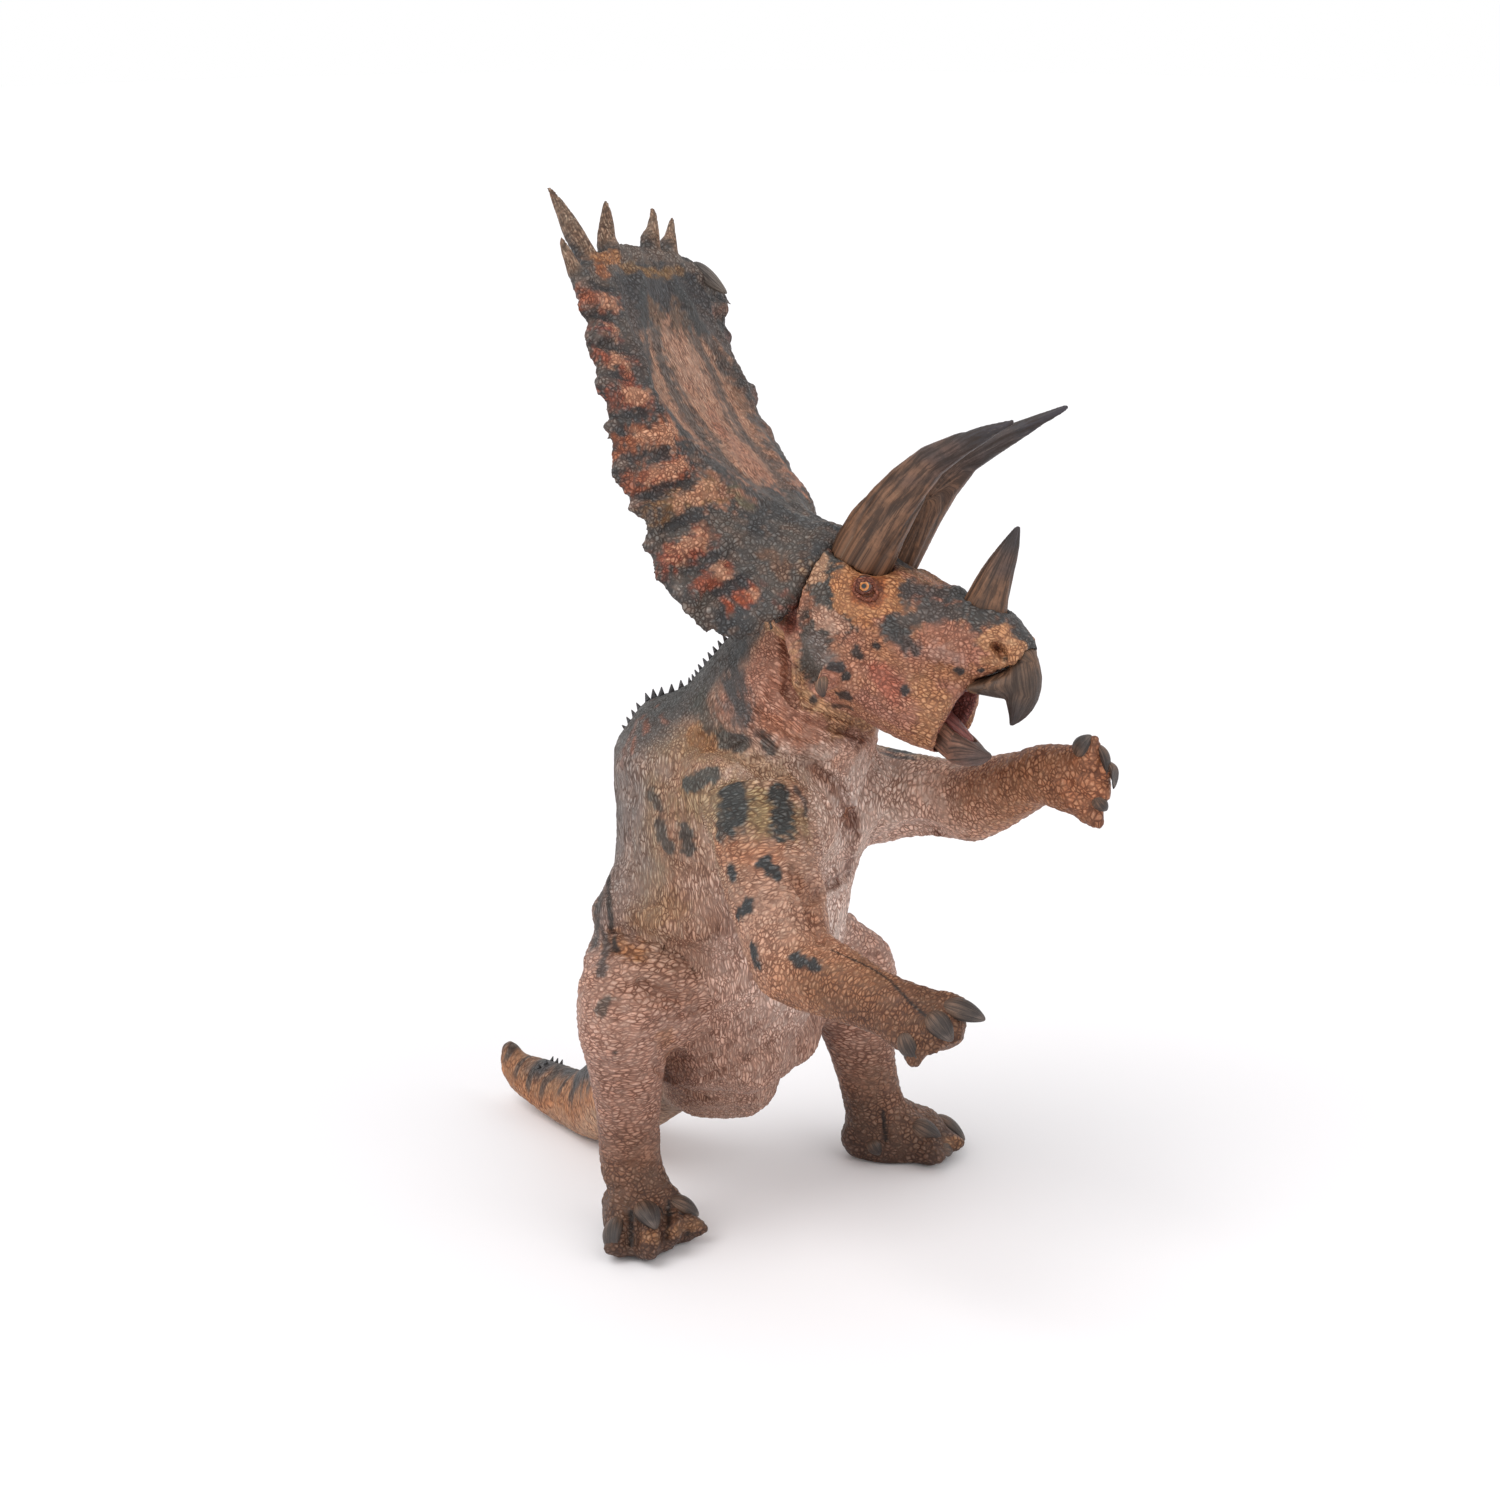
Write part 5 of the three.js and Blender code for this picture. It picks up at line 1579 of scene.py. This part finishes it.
# %% [markdown]
# The nails. One hoof-like nail is shaped from a sphere: drawn out, flat below, domed above and drooping
# at the tip. Copies with their own mesh are set on the toes, each from its root towards its tip. The
# cheek horns and the spike on the frill's far corner are made from the same shape.

# %% Shape a nail
bpy.ops.mesh.primitive_uv_sphere_add(segments=28, ring_count=20, radius=1)
nail = bpy.context.object
ball = places_of(nail)[:, [2, 1, 0]] * (1, 1, -1)
along = (ball[:, 0] + 1) / 2
across = ball[:, 1] * (1.05 - 0.5 * along**2)
over = np.where(ball[:, 2] > 0, ball[:, 2] * 0.7, ball[:, 2] * 0.3) * (1 - 0.35 * along**2)
over -= 0.28 * along**2 + 0.3 * (1 - along) ** 2
round_it = np.arctan2(ball[:, 2], ball[:, 1])
cut = np.clip(np.sin(round_it * 9 + 1.5 * np.sin(along * 6)), 0, 1) ** 2
nail_shape = np.stack([along * 1.3 - 0.3, across * (1 - 0.03 * cut), over * (1 - 0.05 * cut)], 1)
nail_coat = fade(along + 0.12 * wobble(ball * 4 * mm, 3, 51), "0.2 705646, 0.45 54443b, 0.8 433a37, 1 6e6059")
nail_coat = mix(nail_coat, tone("24201c"), 0.5 * cut)
cheek_coat = mix(fade(along, "0.2 9a7860, 0.6 7a5c4a, 1 4a3c38"), tone("2e231f"), 0.5 * cut)
spike_coat = mix(fade(along, "0.2 6b645f, 0.6 857a72, 1 93877d"), tone("4a403a"), 0.6 * cut)
store(nail, "grain", np.stack([3 * np.cos(round_it), 3 * np.sin(round_it), along * 5], 1))
nail_finish = hard_finish("nail_brown", shade_and_streak_tint="241b18", rough=0.45)


def set_nail(name, spot, out, tip, width, coat=nail_coat):
    """A copy of the nail on a place of the skin, drawn out to its tip, in its own coat of paint."""
    half_width = width / 2 * mm
    copy = own_copy(nail, name)
    points = nail_shape * ((tip - spot).length, half_width, half_width)
    move_to(copy, stood(points, placing(spot, out, tip - spot)))
    store_paint(copy, coat)
    settled(copy, name, nail_finish)


print("nail:", len(nail_shape), "vertices")

# %% [markdown]
# A nail's tip is given only across the view. Its depth is taken from the plane that touches the skin at
# the root, but within 3 mm of the root's own depth.

# %% Set the nails
# limb, width in mm, root and tip in the picture
nails = table("""
    right_foot 5.4 613,1224 614,1254
    right_foot 5.4 644,1206 656,1229
    right_foot 4.4 679,1202 703,1213
    left_foot 4.6 920,1127 943,1140
    left_foot 4.4 944,1119 971,1132
    left_foot 3.4 872,1144 880,1156
    left_foot 3 946,1149 962,1150
    left_hand 4.6 1077,750 1089,734
    left_hand 4.6 1102,750 1126,758
    left_hand 4.2 1116,766 1131,780
    left_hand 3 1098,802 1107,812
    right_hand 4.8 953,1006 986,1018
    right_hand 4.8 934,1018 952,1040
    right_hand 4.4 904,1040 916,1063
    right_hand 2.6 906,1053 912,1066""")
extra_width, most_depth = 3.4, 3 * mm
cheek, out = clay.laid(821, 681)
cheek_tip = at_depth(cheek, 833, 700) + out * 1.5 * mm
set_nail("cheek_horn_right", cheek, out, cheek_tip, extra_width, cheek_coat)
far_cheek, far_tip = [mirror_place(place, head_middle) for place in (cheek, cheek_tip)]
set_nail("cheek_horn_left", far_cheek, mirror_way(out, head_middle), far_tip, extra_width, cheek_coat)
margin, _ = plate.laid(699, 270)
set_nail("frill_spike_far", margin, -head_across, at_depth(margin, 731, 292), extra_width, spike_coat)
for number, (limb, width, (root, tip)) in enumerate(nails):
    spot, out = clay.laid(*root)
    start, way = sight(*tip)
    depth = (spot - start).dot(way)
    if abs(way.dot(out)) > 0.3:
        on_plane = (spot - start).dot(out) / way.dot(out)
        depth = min(max(on_plane, depth - most_depth), depth + most_depth)
    set_nail(f"nail_{limb}_{number + 1}", spot, out, start + way * depth, width)
bpy.data.objects.remove(nail)
print("nails:", len(nails))

# %% [markdown]
# The spines along the back: one little cone, leaning like a saw tooth, copied up the hump and the neck
# and at the root of the tail. The row follows the middle of the back.

# %% Spines
def along_line(points, step):
    """Places at even steps along a line in the picture."""
    laid = []
    for (u0, v0), (u1, v1) in zip(points, points[1:]):
        count = max(1, round(math.hypot(u1 - u0, v1 - v0) / step))
        laid += [(u0 + (u1 - u0) * k / count, v0 + (v1 - v0) * k / count) for k in range(count)]
    return laid


# laid in the middle of the back or where seen, height, half length of the foot, step, line in the picture
spine_rows = table("""
    middle 1.6 1.05 9.5 620,750 624,720 634,706 645,699 660,695 692,690
    middle 1.2 0.8 8 692,690 702,672 712,650 722,628
    middle 0.5 0.8 6 606,880 596,902 592,930 587,965
    seen 0.9 0.8 7 538,1068 552,1060 570,1054""")
row_off = 2.4 * mm
sunk_mm = 0.6
spines = []
for where, height, foot, step, line in spine_rows:
    for across, down in along_line(line, step):
        spot, out = clay.laid(across, down)
        if where == "middle":
            start, way = sight(across, down)
            depth = (body_middle[0].y - row_off - start.y) / way.y
            spot, out, _, _ = clay.tree.find_nearest(start + way * depth)
        bpy.ops.mesh.primitive_cone_add(
            vertices=12, radius1=foot * mm, radius2=0.12 * mm, depth=(height + sunk_mm) * mm,
        )
        spine = bpy.context.object
        points = places_of(spine)
        points[:, 2] += (height - sunk_mm) / 2 * mm
        lean = np.clip(points[:, 2] / (height * mm), 0, 1)
        points[:, 0] += 0.55 * height * mm * lean**1.5
        points[:, 1] *= 0.7
        move_to(spine, points)
        painted_all(spine, "54565a")
        spine.data.transform(placing(spot, out, (0.25, 0.1, 1)))
        spines.append(spine)
settled(join(*spines), "back_spines", lid_finish)
print("spines:", len(spines))

# %% [markdown]
# A plain pale floor, a white world and soft studio lamps. The camera sees the world and floor as near
# white, while the floor still takes the figure's soft shadow.

# %% Floor, world and lamps
bpy.ops.mesh.primitive_circle_add(vertices=96, radius=1.5, fill_type="NGON", location=(0, 0, 0))
floor = bpy.context.object
floor.name = "floor"
floor_finish = new_material("floor_white")
floor_shader = floor_finish.node_tree.nodes["Principled BSDF"]
floor_shader.inputs["Base Color"].default_value = (0.955, 0.94, 0.955, 1)
floor_shader.inputs["Roughness"].default_value = 0.9
floor_shader.inputs["Specular IOR Level"].default_value = 0.1
floor.data.materials.append(floor_finish)
floor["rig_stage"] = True

world = bpy.data.worlds.new("studio")
bpy.context.scene.world = world
world.use_nodes = True
tree = world.node_tree
tree.nodes.clear()
sight_ray = wire(tree, "ShaderNodeLightPath").outputs
seen = calc(tree, "MAXIMUM", sight_ray["Is Camera Ray"], sight_ray["Is Glossy Ray"])
seen = calc(tree, "MAXIMUM", seen, sight_ray["Is Transmission Ray"])
strength = ranged(tree, seen, 0, 1, 0.78, 1.0)
glow = wire(tree, "ShaderNodeBackground", {"Color": (1, 1, 1, 1), "Strength": strength})
wire(tree, "ShaderNodeOutputWorld", {"Surface": glow.outputs[0]})


def soft_sun(name, where, strength, width):
    """A wide, even light from the direction of a place, such as a big softbox gives."""
    bpy.ops.object.light_add(type="SUN", location=where)
    light = bpy.context.object
    light.name = name
    light.data.energy = strength
    light.data.angle = math.radians(width)
    light.rotation_euler = (aim - light.location).to_track_quat("-Z", "Y").to_euler()


soft_sun("key_light", (-0.3, -0.75, 1.25), 1.15, 40)
soft_sun("side_light", (1.0, -0.1, 0.8), 0.45, 50)
bpy.context.scene.view_settings.view_transform = "Standard"

# %% [markdown]
# Nothing may lie past the box of the CAD model, so the few vertices that do are eased back onto its
# faces.

# %% Check the size
edge = 0.02 * mm
box_low, box_high = np.array(cad_low) + edge, np.array(cad_high) - edge
for thing in list(bpy.data.objects):
    if "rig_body" in thing and "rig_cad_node" not in thing:
        points = places_of(thing)
        inside = np.clip(points, box_low, box_high)
        if (inside != points).any():
            furthest = float(np.abs(inside - points).max()) / mm
            print(thing.name, "eased into the box by up to", round(furthest, 2), "mm")
            move_to(thing, inside)
low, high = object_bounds()
print("visual box in mm:", [[round(x / mm, 1) for x in corner] for corner in (low, high)])
